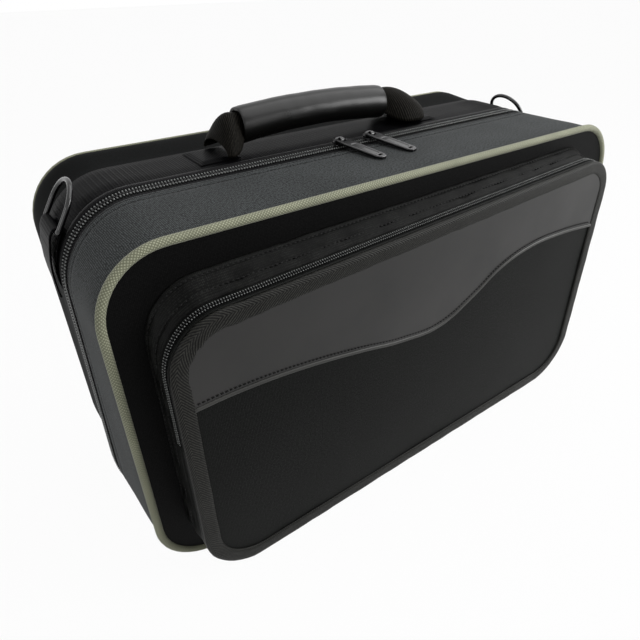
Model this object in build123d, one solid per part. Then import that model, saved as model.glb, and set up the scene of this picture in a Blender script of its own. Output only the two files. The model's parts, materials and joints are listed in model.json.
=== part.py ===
from build123d import *
from math import atan2, cos, degrees, radians, sin
import os

# A soft trumpet case: two foam trays in nylon covers, closed by a zip that runs over
# the top and down both ends.  X runs along the case, the front with its pocket faces
# -Y and Z is up.  The plane y = 0 is the parting plane of the zip, and z = 0 is the
# ground that the case stands on.  All sizes are in millimetres.

# Outline of the body, at the zip and at the piped seams of the front and the back.
# Its ends lean in a little at the zip, and it is highest at the back.
LID_DEPTH = 89.0
BASE_DEPTH = 112.0
HALF_LENGTH_LOW = {"zip": 277.5, "front": 271.0, "back": 265.0}
HALF_LENGTH_HIGH = {"zip": 269.5, "front": 271.0, "back": 265.0}
BOTTOM = {"zip": 1.0, "front": 2.265, "back": 2.265}
TOP = {"zip": 295.25, "front": 291.0, "back": 299.5}
CORNER = {"zip": 62.5, "front": 50.0, "back": 52.0}
FAR = 400.0

# Layers of the walls
COVER = 1.5
RIM_GAP = 0.5
PANEL_FOAM = 10.0
CAVITY_HALF_LENGTH = 258.0
CAVITY_LOW = 14.0
CAVITY_HIGH = 281.0
CAVITY_CORNER = 45.0
PIPING_RADIUS = 3.25
PIPING_INSET = 1.0
HINGE_HALF_LENGTH = 212.0
HINGE_WIDTH = 25.0
HINGE_BLOCK = 4.0
HINGE_OVERRUN = -0.1

# Main zip
TAPE_EDGE = 11.0
TAPE_THICKNESS = 1.0
TAPE_SUNK = 0.5
TAPE_SLIT = 1.0
TOOTH_TIP = 0.8
TOOTH_ROOT = 4.8
TEETH_PROUD = 1.3
REBATE_WIDTH = 8.0
REBATE_DEPTH = 5.0
ZIP_END_X = 226.0
ZIP_END_Z = 30.0

# Sliders and pulls of the main zip
SLIDER_X = {"left": -19.0, "right": 16.0}
SLIDER_SHAPE = [(-7.5, -3.6), (-3, -4.2), (3, -5.5), (7.5, -4.4),
                (7.5, 4.4), (3, 5.5), (-3, 4.2), (-7.5, 3.6)]
SLIDER_ROUND = 1.4
SLIDER_GAP = 0.3
PLATE = 1.3
POST_WIDTH = 1.0
POST_ENDS = (2.5, 6.5)
BRIDGE_INSIDE = 1.6
BRIDGE_WALL = 1.1
BRIDGE_WIDTH = 3.4
PULL_LENGTH = 50.0
PULL_WIDTH = 9.0
PULL_THICKNESS = 1.8
PULL_SLOPE = 7.3
PULL_EYE = 4.6
PULL_BAR_RADIUS = 0.95
PULL_END_HOLE = 3.4
PULL_RECESS = (4.6, 28.0, 0.5)

# Front pocket: corners of its face and of its seam on the front panel, as x and z
POCKET_FACE = {"left": -245.0, "right": 229.0, "low_left": 1.5, "low_right": 8.0,
               "high_left": 249.0, "high_right": 270.0}
POCKET_SEAM = {"left": -247.0, "right": 231.0, "low_left": 8.0, "low_right": 10.0,
               "high_left": 265.0, "high_right": 277.0}
POCKET_CORNERS = {"low_left": 50.0, "low_right": 52.0, "high_right": 36.0, "high_left": 42.0}
POCKET_FOLD_Y = -104.0
POCKET_ZIP_Y = -111.0
POCKET_BACK_Y = -118.0
POCKET_FRONT_Y = -120.5
BINDING_PROUD = 1.5
BINDING_WIDTH = 13.0
GUSSET_WALL = 1.6
FLAP_Z = 150.0
FLAP_GAP = 0.3

# Slider and pull of the pocket zip
SMALL_SLIDER_Z = 162.0
SMALL_SLIDER_LENGTH = 12.0
SMALL_PLATE = 1.2
SMALL_OUTER_WIDTH = 9.2
SMALL_INNER_WIDTH = 5.4
SMALL_LUG = 3.2
SMALL_EYE_OUT = 1.7
SMALL_EYE_RADIUS = 0.95
SMALL_BAR_RADIUS = 0.75
SMALL_PULL = (1.2, 8.0, 34.0)
COIL_HALF = (1.3, 1.2)

# Wavy edge of the smooth overlay, from left to right
WAVE = [(-250, 183), (-200, 183), (-150, 179), (-95, 170), (-45, 160), (0, 158), (40, 174),
        (72, 191), (112, 201), (160, 202), (235, 195)]
OVERLAY_THICKNESS = 0.9
ROLLED_EDGE = 3.0

# Handle, above a strip of webbing that runs over the top and both corners
STRIP_BACK = 64.0
STRIP_FRONT = 14.0
STRIP_THICKNESS = 1.6
STRIP_END_Z = 226.0
HANDLE_Y = 39.0
HANDLE_X = -22.0
GRIP_HALF_LENGTH = 79.0
GRIP_END = (30.0, 30.5)
GRIP_MIDDLE = (30.0, 29.0)
GRIP_END_Z = 318.6
GRIP_MIDDLE_Z = 323.0
STRAP_WIDTH = 36.0
STRAP_THICKNESS = 2.4
STRAP_REACH = 14.0
STRAP_RISE = 3.0
STRAP_FOOT = 18.0
STRAP_LIFT = 0.75
STRAP_BEND = 6.0
ANCHOR_X = {"left": (-146.0, -108.0), "right": (84.0, 122.0)}
ANCHOR_HALF_WIDTH = 20.0

# Shoulder rings at the two top corners
RING_Y = 33.0
RING_WIRE = 2.0
RING_HALF_WIDTH = 21.0
RING_LEG = 15.0
RING_BEND = 4.0
RING_ANGLE = 33.0
RING_OFF_SURFACE = 5.5
LOOP_WIDTH = 34.0
LOOP_THICKNESS = 3.2
LOOP_END_Z = 216.0
LOOP_END_WIDTH = 16.0
LOOP_TAPER = 18.0
EYE_CLEARANCE = 0.3

# Inside: a cradle for a trumpet that lies on its side, with its bell to the right
CRADLE_FRONT = 3.0
BELL_AXIS_Y = 32.0
BELL_AXIS_Z = 91.0
BELL_PROFILE = [(-150, 13), (20, 16), (90, 22), (150, 31), (195, 44), (225, 57), (240, 63.5)]
BELL_RIM_X = 250.0
WRAP = (-152.0, 108.0, 76.0, 212.0)
WRAP_CORNER = 40.0
WRAP_FLOOR = 62.0
VALVES = (-64.0, 26.0, 52.0, 262.0)
LEADPIPE = (-252.0, -110.0, 180.0, 210.0)
ACCESSORY = (116.0, 238.0, 214.0, 263.0)
TRAY = (116.0, 238.0, 168.0, 204.0)
COMPARTMENT_CORNER = 6.0
COMPARTMENT_FLOOR = 92.0
MOUTHPIECE_BLOCK = (-240.0, -158.0, 216.0, 262.0)
MOUTHPIECE_RADIUS = 14.0
MOUTHPIECE_SPACING = 40.0
MOUTHPIECE_DEPTH = 66.0
LID_PAD_THICKNESS = 12.0
LID_PAD_ROUND = 5.0
ACCESSORY_LIP = 4.0
ACCESSORY_LID = 3.6
LID_CLEARANCE = 0.6
TAB_WIDTH = 18.0
TAB_LENGTH = 22.0


def at_depth(pair, y):
    """Value at depth y, between the zip and the piped seam of the front or the back."""
    seam, depth = ("back", BASE_DEPTH) if y > 0 else ("front", LID_DEPTH)
    return pair["zip"] + (pair[seam] - pair["zip"]) * abs(y) / depth


def upright(y):
    """Drawing plane that stands at depth y, with its own x and y along X and Z."""
    return Plane(origin=(0, y, 0), x_dir=(1, 0, 0), z_dir=(0, -1, 0))


def body_outline(y, inset=0.0):
    """Rounded outline of the case at depth y, drawn in by inset."""
    wide = at_depth(HALF_LENGTH_LOW, y) - inset
    narrow = at_depth(HALF_LENGTH_HIGH, y) - inset
    low = at_depth(BOTTOM, y) + inset
    high = at_depth(TOP, y) - inset
    shape = Polygon((-wide, low), (wide, low), (narrow, high), (-narrow, high), align=None)
    return upright(y) * fillet(shape.vertices(), at_depth(CORNER, y) - inset)


def body(y_from, y_to, inset=0.0):
    """The body between two depths on one side of the zip, drawn in by inset."""
    low, high = sorted((y_from, y_to))
    seam = BASE_DEPTH if high > 0 else -LID_DEPTH
    whole = loft([body_outline(0, inset), body_outline(seam, inset)], ruled=True)
    return whole & block(-FAR, FAR, low, high, -FAR, FAR)


def skin(y_from, y_to, outer, inner):
    """A layer that follows the body all round."""
    return body(y_from, y_to, outer) - body(y_from, y_to, inner)


def plate(sketch, y_back, y_front):
    """A flat sketch in X and Z, given its thickness along Y."""
    return extrude(upright(y_back) * sketch, y_back - y_front, dir=(0, -1, 0))


def panel(x_low, x_high, z_low, z_high, corner):
    """Rounded rectangle between two corners."""
    shape = RectangleRounded(x_high - x_low, z_high - z_low, corner)
    return Pos((x_low + x_high) / 2, (z_low + z_high) / 2) * shape


def block(x_low, x_high, y_low, y_high, z_low, z_high):
    """Box between two corners."""
    size = (x_high - x_low, y_high - y_low, z_high - z_low)
    centre = ((x_low + x_high) / 2, (y_low + y_high) / 2, (z_low + z_high) / 2)
    return Pos(*centre) * Box(*size)


def zip_run(layer):
    """The part of a layer along the zip, which leaves out the hinge at the bottom."""
    return layer - block(-ZIP_END_X, ZIP_END_X, -FAR, FAR, -FAR, ZIP_END_Z)


def cavity(y_back, y_front):
    """The open inside of a foam tray."""
    outline = panel(-CAVITY_HALF_LENGTH, CAVITY_HALF_LENGTH, CAVITY_LOW, CAVITY_HIGH, CAVITY_CORNER)
    return plate(outline, y_back, y_front)


def foam_tray(side, depth):
    """A foam tray whose open rim meets the zip, with a rebate for the sliders."""
    outer = body(side * RIM_GAP, side * (depth - COVER), COVER)
    floor = side * (depth - COVER - PANEL_FOAM)
    hollow = cavity(max(floor, 0), min(floor, 0))
    rebate = zip_run(skin(0, side * REBATE_WIDTH, 0, COVER + REBATE_DEPTH))
    return outer - hollow - rebate


def cover_band(side, depth):
    """The nylon band round a tray, from the zip tape to the piped seam."""
    return skin(side * TAPE_EDGE, side * (depth - COVER), 0, COVER)


def cover_panel(side, depth):
    """The nylon panel that closes a tray's cover at the front or the back."""
    return body(side * (depth - COVER), side * depth)


def piping(side, depth):
    """A cord sewn into the seam, so a quarter of its section is inside the corner."""
    y = side * (depth - PIPING_INSET)
    path = body_outline(y, PIPING_INSET).wire()
    start = path @ 0
    section = Plane(origin=start, z_dir=path % 0) * Circle(PIPING_RADIUS)
    cord = sweep(section, path)
    return cord - body(side * (depth - 2 * PIPING_RADIUS), side * depth)


def zip_tape(side):
    """One woven tape of the main zip."""
    return zip_run(skin(side * TAPE_SLIT, side * TAPE_EDGE, TAPE_SUNK, TAPE_SUNK + TAPE_THICKNESS))


def zip_teeth(side):
    """One row of the closed coil, as a plain bead."""
    return zip_run(skin(side * TOOTH_TIP, side * TOOTH_ROOT, -TEETH_PROUD, TAPE_SUNK))


def hinge_leaf(side):
    """Half of the fabric hinge, under one tray; the base's half reaches just past the axis."""
    near = HINGE_OVERRUN if side > 0 else -RIM_GAP
    edges = sorted((near, side * HINGE_WIDTH))
    strip = block(-HINGE_HALF_LENGTH, HINGE_HALF_LENGTH, *edges, 0, HINGE_BLOCK)
    strip -= block(-FAR, FAR, -1, 1, BOTTOM["zip"], FAR)
    return strip - body(0, side * (HINGE_WIDTH + 1))


def pocket_outline(y, inset=0.0):
    """Outline of the pocket at depth y: it narrows from its seam to the fold."""
    reach = (y - POCKET_FOLD_Y) / (-LID_DEPTH - POCKET_FOLD_Y)
    share = min(max(reach, 0.0), 1.0)
    edge = {key: POCKET_FACE[key] + (POCKET_SEAM[key] - POCKET_FACE[key]) * share
            for key in POCKET_FACE}
    points = [(edge["left"] + inset, edge["low_left"] + inset),
              (edge["right"] - inset, edge["low_right"] + inset),
              (edge["right"] - inset, edge["high_right"] - inset),
              (edge["left"] + inset, edge["high_left"] - inset)]
    shape = Polygon(*points, align=None)
    for name, point in zip(("low_left", "low_right", "high_right", "high_left"), points):
        corner = shape.vertices().sort_by_distance(Vector(*point))[0]
        shape = fillet(corner, POCKET_CORNERS[name] - inset)
    return shape


def pocket_plate(y_back, y_front, inset):
    """Solid slab of the pocket's outline."""
    return plate(pocket_outline(y_front, inset), y_back, y_front)


def pocket_ring(y_back, y_front, outer, inner):
    """A strip that runs round the pocket's edge."""
    return pocket_plate(y_back, y_front, outer) - pocket_plate(y_back, y_front, inner)


def above_fold(piece):
    """The part of a pocket piece that lifts with the flap."""
    return piece & block(-FAR, FAR, -FAR, 0, FLAP_Z + FLAP_GAP, FAR)


def below_fold(piece):
    """The part of a pocket piece that stays on the lid."""
    return piece & block(-FAR, FAR, -FAR, 0, -FAR, FLAP_Z)


def pocket_gusset():
    """The side wall of the pocket: sewn to the lid, open to the zip above the fold."""
    def slope(inset):
        seam = upright(-LID_DEPTH) * pocket_outline(-LID_DEPTH, inset)
        fold = upright(POCKET_FOLD_Y) * pocket_outline(POCKET_FOLD_Y, inset)
        return loft([seam, fold], ruled=True)
    wall = slope(0) - slope(GUSSET_WALL)
    upper = pocket_ring(POCKET_FOLD_Y, POCKET_ZIP_Y + 3, 0, GUSSET_WALL)
    lower = below_fold(pocket_ring(POCKET_ZIP_Y + 3, POCKET_BACK_Y, 0, GUSSET_WALL))
    return wall + upper + lower


def pocket_tape(side):
    """A tape of the pocket zip: side 1 is sewn to the gusset, side -1 to the flap."""
    edges = sorted((POCKET_ZIP_Y + side * 0.5, POCKET_ZIP_Y + side * 3))
    return above_fold(pocket_ring(edges[1], edges[0], 0.3, 1.3))


def pocket_teeth(side):
    """A row of the pocket zip's coil, as a plain bead on its tape."""
    edges = sorted((POCKET_ZIP_Y + side * 0.2, POCKET_ZIP_Y + side * 2.4))
    return above_fold(pocket_ring(edges[1], edges[0], -1.2, 0.3))


def flap_edge():
    """The narrow strip between the pocket's upper zip tape and its front."""
    return above_fold(pocket_ring(POCKET_ZIP_Y - 3, POCKET_BACK_Y, 0, GUSSET_WALL))


def pocket_front():
    """The front sheet of the pocket, with its edge inside the binding."""
    return pocket_plate(POCKET_BACK_Y, POCKET_FRONT_Y, 2.5)


def pocket_binding():
    """Folded tape over the edge of the pocket's front."""
    y_face = POCKET_FRONT_Y - BINDING_PROUD
    wrap = pocket_plate(POCKET_BACK_Y, y_face, 0)
    return wrap - pocket_front() - pocket_plate(POCKET_FRONT_Y, y_face, BINDING_WIDTH)


def above_wave(lift=0.0):
    """Region above the overlay's wavy edge."""
    points = [(x, z + lift) for x, z in WAVE]
    wave = Spline(*points)
    rest = Polyline(points[-1], (points[-1][0], FAR), (points[0][0], FAR), points[0])
    return make_face(wave.edges() + rest.edges())


def overlay():
    """Smooth sheet on the upper front, with a rolled and stitched wavy edge."""
    inside = pocket_outline(POCKET_FRONT_Y, BINDING_WIDTH)
    sheet = plate(inside & above_wave(), POCKET_FRONT_Y, POCKET_FRONT_Y - OVERLAY_THICKNESS)
    edge = inside & (above_wave() - above_wave(ROLLED_EDGE))
    return sheet + plate(edge, POCKET_FRONT_Y, POCKET_FRONT_Y - BINDING_PROUD)


def slider(x, nose):
    """A zip slider at x.  Its wide nose, where the post stands, points along nose."""
    outline = Polygon(*SLIDER_SHAPE, align=None)
    outline = fillet(outline.vertices(), SLIDER_ROUND)
    coil_top = TOP["zip"] + TEETH_PROUD
    tape_under = TOP["zip"] - TAPE_SUNK - TAPE_THICKNESS
    top_low = coil_top + SLIDER_GAP
    low_high = tape_under - SLIDER_GAP
    upper = Pos(0, 0, top_low) * extrude(outline, PLATE, dir=(0, 0, 1))
    lower = Pos(0, 0, low_high - PLATE) * extrude(outline, PLATE, dir=(0, 0, 1))
    post = block(*POST_ENDS, -POST_WIDTH / 2, POST_WIDTH / 2, low_high - PLATE, top_low + PLATE)
    outer = BRIDGE_INSIDE + BRIDGE_WALL
    arch = Circle(outer) + Pos(0, -outer / 2) * Rectangle(2 * outer, outer)
    arch -= Circle(BRIDGE_INSIDE) + Pos(0, -outer / 2) * Rectangle(2 * BRIDGE_INSIDE, outer)
    arch_plane = Plane(origin=(-BRIDGE_WIDTH / 2, 0, top_low + PLATE + outer), x_dir=(0, 1, 0),
                       z_dir=(1, 0, 0))
    bridge = extrude(arch_plane * arch, BRIDGE_WIDTH)
    whole = upper + lower + post + bridge
    if nose < 0:
        whole = whole.rotate(Axis.Z, 180)
    return Pos(x, 0, 0) * whole


def pull_pivot_z():
    """Height of the bar by which a pull hangs in its slider's bridge."""
    return TOP["zip"] + TEETH_PROUD + SLIDER_GAP + PLATE + BRIDGE_INSIDE + BRIDGE_WALL


def pull(x):
    """A flat tapered pull that lies forward over the lid, with a slot and an end hole."""
    half, tip = PULL_WIDTH / 2, -PULL_LENGTH
    outline = Polygon((-half + 0.6, 3), (half - 0.6, 3), (half, -10), (half - 0.9, tip + 4),
                      (half - 2.5, tip), (-half + 2.5, tip), (-half + 0.9, tip + 4),
                      (-half, -10), align=None)
    outline = fillet(outline.vertices(), 1.0)
    slot = Pos(0, -3.2) * Rectangle(BRIDGE_WIDTH + 0.8, PULL_EYE)
    end_hole = Pos(0, tip + 5) * Rectangle(PULL_END_HOLE, PULL_END_HOLE)
    strap = Pos(0, 0, -PULL_THICKNESS / 2) * extrude(
        outline - slot - end_hole, PULL_THICKNESS, dir=(0, 0, 1))
    strap -= block(-half, half, 0, FAR, -PULL_THICKNESS, PULL_THICKNESS)
    wide, long, deep = PULL_RECESS
    recess = Pos(0, tip / 2 - 3) * RectangleRounded(wide, long, 1.2)
    strap -= Pos(0, 0, PULL_THICKNESS / 2 - deep) * extrude(recess, PULL_THICKNESS)
    bar = Cylinder(PULL_BAR_RADIUS, 2 * half - 1.2, rotation=(0, 90, 0))
    whole = (strap + bar).rotate(Axis.X, PULL_SLOPE)
    return Pos(x, 0, pull_pivot_z()) * whole


def pocket_slider():
    """Slider of the pocket zip, at its closed end low on the right side."""
    half = SMALL_SLIDER_LENGTH / 2
    plate_out = COIL_HALF[1] + SLIDER_GAP
    plate_in = -COIL_HALF[0] - SLIDER_GAP
    lug_out = plate_out + SMALL_PLATE
    outer = block(plate_out, lug_out, -SMALL_OUTER_WIDTH / 2, SMALL_OUTER_WIDTH / 2, -half, half)
    inner = block(plate_in - SMALL_PLATE, plate_in, -SMALL_INNER_WIDTH / 2,
                  SMALL_INNER_WIDTH / 2, -half, half)
    post = block(plate_in - SMALL_PLATE, lug_out, -0.15, 0.15, half - 4, half - 1)
    lug = block(lug_out, lug_out + SMALL_LUG, -1.2, 1.2, -3, 3)
    eye = Pos(lug_out + SMALL_EYE_OUT, 0, 0) * Cylinder(SMALL_EYE_RADIUS, 3, rotation=(90, 0, 0))
    place = Pos(POCKET_FACE["right"], POCKET_ZIP_Y, SMALL_SLIDER_Z)
    return place * (outer + inner + post + lug - eye)


def pocket_pull():
    """Pull of the pocket slider, hanging down along the pocket's side."""
    pivot_x = POCKET_FACE["right"] + COIL_HALF[1] + SLIDER_GAP + SMALL_PLATE + SMALL_EYE_OUT
    thick, wide, long = SMALL_PULL
    tab = block(-thick / 2, thick / 2, -wide / 2, wide / 2, -long, 0.8)
    tab -= block(-thick, thick, -1.6, 1.6, -4.4, FAR)
    bar = Cylinder(SMALL_BAR_RADIUS, 3.4, rotation=(90, 0, 0))
    return Pos(pivot_x, POCKET_ZIP_Y, SMALL_SLIDER_Z) * (tab + bar)


def top_webbing():
    """Strip of webbing beside the zip, over the top and round both corners."""
    layer = skin(STRIP_FRONT, STRIP_BACK, -STRIP_THICKNESS, 0)
    return layer & block(-FAR, FAR, 0, FAR, STRIP_END_Z, FAR)


def handle_anchor(name):
    """Sewn patch that holds one end of the handle's strap."""
    layer = skin(HANDLE_Y - ANCHOR_HALF_WIDTH, HANDLE_Y + ANCHOR_HALF_WIDTH,
                 -2 * STRIP_THICKNESS, -STRIP_THICKNESS)
    return layer & block(*ANCHOR_X[name], 0, FAR, STRIP_END_Z, FAR)


def handle_grip():
    """Rounded grip, arched a little, with cut ends."""
    sections = []
    for step in range(5):
        share = step / 2 - 1
        centre = (HANDLE_X + share * GRIP_HALF_LENGTH, HANDLE_Y,
                  GRIP_MIDDLE_Z + (GRIP_END_Z - GRIP_MIDDLE_Z) * share ** 2)
        tilt = -2 * (GRIP_END_Z - GRIP_MIDDLE_Z) * share / GRIP_HALF_LENGTH
        wide = GRIP_MIDDLE[0] + (GRIP_END[0] - GRIP_MIDDLE[0]) * share ** 2
        high = GRIP_MIDDLE[1] + (GRIP_END[1] - GRIP_MIDDLE[1]) * share ** 2
        plane = Plane(origin=centre, x_dir=(0, 1, 0), z_dir=(1, 0, -tilt))
        sections.append(plane * RectangleRounded(wide, high, 0.46 * min(wide, high)))
    return loft(sections)


def handle_strap(side, name):
    """Webbing from one end of the grip down to its sewn patch."""
    grip_end = HANDLE_X + side * GRIP_HALF_LENGTH
    foot_z = at_depth(TOP, HANDLE_Y) + 2 * STRIP_THICKNESS + STRAP_THICKNESS / 2 + STRAP_LIFT
    foot_end = max(ANCHOR_X[name], key=abs) - side * 2
    top_z = GRIP_END_Z + STRAP_RISE
    points = [(grip_end - side * 0.5, HANDLE_Y, top_z),
              (grip_end + side * STRAP_REACH, HANDLE_Y, top_z),
              (foot_end - side * STRAP_FOOT, HANDLE_Y, foot_z),
              (foot_end, HANDLE_Y, foot_z)]
    path = FilletPolyline(*points, radius=STRAP_BEND)
    section = Plane(origin=points[0], x_dir=(0, 1, 0), z_dir=path % 0)
    strap = sweep(section * Rectangle(STRAP_WIDTH, STRAP_THICKNESS), path)
    slope = degrees(atan2(TOP["back"] - TOP["zip"], BASE_DEPTH))
    strap = strap.rotate(Axis((0, HANDLE_Y, foot_z), (1, 0, 0)), slope)
    return strap - handle_grip()


def ring_place():
    """Where the bar of the right ring runs, off the rounded top corner: x and z."""
    wide, narrow = at_depth(HALF_LENGTH_LOW, RING_Y), at_depth(HALF_LENGTH_HIGH, RING_Y)
    low, high = at_depth(BOTTOM, RING_Y), at_depth(TOP, RING_Y)
    radius = at_depth(CORNER, RING_Y)
    lean = atan2(wide - narrow, high - low)
    x = narrow - radius * (1 - sin(lean)) / cos(lean)
    z = high - radius
    reach = radius + RING_OFF_SURFACE
    return x + reach * cos(radians(RING_ANGLE)), z + reach * sin(radians(RING_ANGLE))


def shoulder_ring(side):
    """D-shaped wire ring that leans in over the corner of the case."""
    x, z = ring_place()
    lean = radians(RING_ANGLE)
    plane = Plane(origin=(x, RING_Y, z), x_dir=(0, 1, 0), z_dir=(cos(lean), 0, sin(lean)))
    half, bend, leg = RING_HALF_WIDTH, RING_BEND, RING_LEG
    diagonal = bend * (1 - cos(radians(45)))
    low = Line((-half + bend, 0), (half - bend, 0))
    right_bend = ThreePointArc((half - bend, 0), (half - diagonal, diagonal), (half, bend))
    right_leg = Line((half, bend), (half, leg))
    bow = ThreePointArc((half, leg), (0, leg + half), (-half, leg))
    left_leg = Line((-half, leg), (-half, bend))
    left_bend = ThreePointArc((-half, bend), (-half + diagonal, diagonal), (-half + bend, 0))
    path = plane * Wire([low, right_bend, right_leg, bow, left_leg, left_bend])
    section = Plane(origin=path @ 0, z_dir=path % 0) * Circle(RING_WIRE)
    ring = sweep(section, path)
    return ring if side > 0 else mirror(ring, about=Plane.YZ)


def ring_loop(side):
    """Webbing loop round a ring's bar, sewn down the end of the case."""
    x, z = ring_place()
    half, narrow = LOOP_WIDTH / 2, LOOP_END_WIDTH / 2
    y_low, y_high = RING_Y - half, RING_Y + half
    outer = STRIP_THICKNESS + LOOP_THICKNESS
    tail = skin(y_low, y_high, -outer, -STRIP_THICKNESS) & block(0, FAR, 0, FAR, LOOP_END_Z, z)
    taper_z = LOOP_END_Z + LOOP_TAPER
    taper = Polygon((y_low, z + 10), (y_high, z + 10), (y_high, taper_z),
                    (RING_Y + narrow, LOOP_END_Z), (RING_Y - narrow, LOOP_END_Z),
                    (y_low, taper_z), align=None)
    side_view = Plane(origin=(0, 0, 0), x_dir=(0, 1, 0), z_dir=(1, 0, 0))
    tail &= extrude(side_view * taper, FAR, dir=(1, 0, 0))
    eye_radius = RING_WIRE + EYE_CLEARANCE
    eye = Pos(x, RING_Y, z) * Cylinder(eye_radius + STRIP_THICKNESS, LOOP_WIDTH, rotation=(90, 0, 0))
    hole = Pos(x, RING_Y, z) * Cylinder(eye_radius, LOOP_WIDTH + 4, rotation=(90, 0, 0))
    loop = tail + (eye - body(y_low - 1, y_high + 1, -STRIP_THICKNESS)) - hole
    return loop if side > 0 else mirror(loop, about=Plane.YZ)


def bell_recess():
    """Room for the trumpet's bell: turned to its flare, and open to the front."""
    first, last = BELL_PROFILE[0], BELL_PROFILE[-1]
    flare = Spline(*BELL_PROFILE)
    end = Polyline(last, (BELL_RIM_X, last[1]), (BELL_RIM_X, 0), (first[0], 0), first)
    half = make_face(flare.edges() + end.edges())
    axis_plane = upright(BELL_AXIS_Y) * Pos(0, BELL_AXIS_Z)
    turned = revolve(axis_plane * half, Axis((0, BELL_AXIS_Y, BELL_AXIS_Z), (1, 0, 0)))
    whole = half + mirror(half, about=Plane.XZ)
    return turned + plate(Pos(0, BELL_AXIS_Z) * whole, BELL_AXIS_Y, 0)


def cradle():
    """Foam cradle in the base tray, cut out for the trumpet and its small things."""
    floor = BASE_DEPTH - COVER - PANEL_FOAM
    foam = cavity(floor, CRADLE_FRONT)
    foam -= bell_recess()
    foam -= plate(panel(*WRAP, WRAP_CORNER), WRAP_FLOOR, 0)
    foam -= plate(panel(*VALVES, 12), WRAP_FLOOR, 0)
    foam -= plate(panel(*LEADPIPE, 6), BELL_AXIS_Y + 16, 0)
    foam -= plate(panel(*ACCESSORY, COMPARTMENT_CORNER), COMPARTMENT_FLOOR, 0)
    x_low, x_high, z_low, z_high = ACCESSORY
    seat = panel(x_low - ACCESSORY_LIP, x_high + ACCESSORY_LIP, z_low - ACCESSORY_LIP,
                 z_high + ACCESSORY_LIP, COMPARTMENT_CORNER)
    foam -= plate(seat, CRADLE_FRONT + ACCESSORY_LID + LID_CLEARANCE, 0)
    foam -= plate(panel(*TRAY, COMPARTMENT_CORNER), COMPARTMENT_FLOOR, 0)
    return foam - block(*MOUTHPIECE_BLOCK[:2], 0, floor, *MOUTHPIECE_BLOCK[2:])


def mouthpiece_block():
    """Firm block in the cradle with a seat for each of two mouthpieces."""
    x_low, x_high, z_low, z_high = MOUTHPIECE_BLOCK
    solid = block(x_low, x_high, CRADLE_FRONT + 2, BASE_DEPTH - COVER - PANEL_FOAM, z_low, z_high)
    for side in (-1, 1):
        x = (x_low + x_high) / 2 + side * MOUTHPIECE_SPACING / 2
        seat = upright(MOUTHPIECE_DEPTH) * Pos(x, (z_low + z_high) / 2) * Circle(MOUTHPIECE_RADIUS)
        solid -= extrude(seat, MOUTHPIECE_DEPTH)
    return solid


def accessory_lid():
    """Padded lid over the accessory compartment, hinged on cloth along its lower edge."""
    x_low, x_high, z_low, z_high = ACCESSORY
    rim = ACCESSORY_LIP - LID_CLEARANCE
    leaf = panel(x_low - rim, x_high + rim, z_low - rim, z_high + rim, COMPARTMENT_CORNER - 1)
    y_back = CRADLE_FRONT + ACCESSORY_LID
    return plate(leaf, y_back, CRADLE_FRONT)


def accessory_tab():
    """Ribbon tab that lifts the accessory lid."""
    x_middle = (ACCESSORY[0] + ACCESSORY[1]) / 2
    z_edge = ACCESSORY[3] + ACCESSORY_LIP - LID_CLEARANCE
    return block(x_middle - TAB_WIDTH / 2, x_middle + TAB_WIDTH / 2, CRADLE_FRONT - 1,
                 CRADLE_FRONT, z_edge - TAB_LENGTH, z_edge)


def lid_pad():
    """Soft pad inside the lid that holds the trumpet down."""
    floor = -(LID_DEPTH - COVER - PANEL_FOAM)
    pad = cavity(floor + LID_PAD_THICKNESS, floor)
    rim = pad.faces().sort_by(Axis.Y)[-1].edges()
    return fillet(rim, LID_PAD_ROUND)


def make_parts():
    """Every piece of the case, by name."""
    parts = {
        "lid_shell": foam_tray(-1, LID_DEPTH),
        "lid_band": cover_band(-1, LID_DEPTH),
        "lid_face_panel": cover_panel(-1, LID_DEPTH),
        "lid_piping": piping(-1, LID_DEPTH),
        "zip_tape_lid": zip_tape(-1),
        "zip_coil_lid": zip_teeth(-1),
        "hinge_leaf_lid": hinge_leaf(-1),
        "lid_pad": lid_pad(),
        "base_shell": foam_tray(1, BASE_DEPTH),
        "base_band": cover_band(1, BASE_DEPTH),
        "base_back_panel": cover_panel(1, BASE_DEPTH),
        "base_piping": piping(1, BASE_DEPTH),
        "zip_tape_base": zip_tape(1),
        "zip_coil_base": zip_teeth(1),
        "hinge_leaf_base": hinge_leaf(1),
        "cradle": cradle(),
        "mouthpiece_block": mouthpiece_block(),
        "accessory_lid": accessory_lid(),
        "accessory_tab": accessory_tab(),
        "pocket_gusset": pocket_gusset(),
        "pocket_zip_tape_gusset": pocket_tape(1),
        "pocket_zip_coil_gusset": pocket_teeth(1),
        "pocket_zip_tape_flap": pocket_tape(-1),
        "pocket_zip_coil_flap": pocket_teeth(-1),
        "pocket_flap_edge": flap_edge(),
        "pocket_front_lower": below_fold(pocket_front()),
        "pocket_front_upper": above_fold(pocket_front()),
        "pocket_binding_lower": below_fold(pocket_binding()),
        "pocket_binding_upper": above_fold(pocket_binding()),
        "pocket_overlay": overlay(),
        "pocket_slider": pocket_slider(),
        "pocket_pull": pocket_pull(),
        "top_webbing": top_webbing(),
        "handle_grip": handle_grip(),
    }
    for name, side in (("left", -1), ("right", 1)):
        parts["handle_anchor_" + name] = handle_anchor(name)
        parts["handle_strap_" + name] = handle_strap(side, name)
        parts["shoulder_ring_" + name] = shoulder_ring(side)
        parts["ring_loop_" + name] = ring_loop(side)
        parts["zip_slider_" + name] = slider(SLIDER_X[name], -side)
        parts["zip_pull_" + name] = pull(SLIDER_X[name])
    return parts


os.makedirs("parts", exist_ok=True)
for node, solid in make_parts().items():
    solid.label = node
    export_step(solid, f"parts/{node}.step")
    print(node, round(solid.volume / 1000, 1), "cm3")
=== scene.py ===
# %% [markdown]
# # A soft trumpet case
# The case is two foam trays in nylon covers.  A long zip joins them over the top and down both
# ends, and a strip of cloth hinges them underneath.  The imported solids are the frame: every
# piece made here is in metres and sits where its solid is; most also ride on its body.

# %% Load the frame
import json

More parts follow.
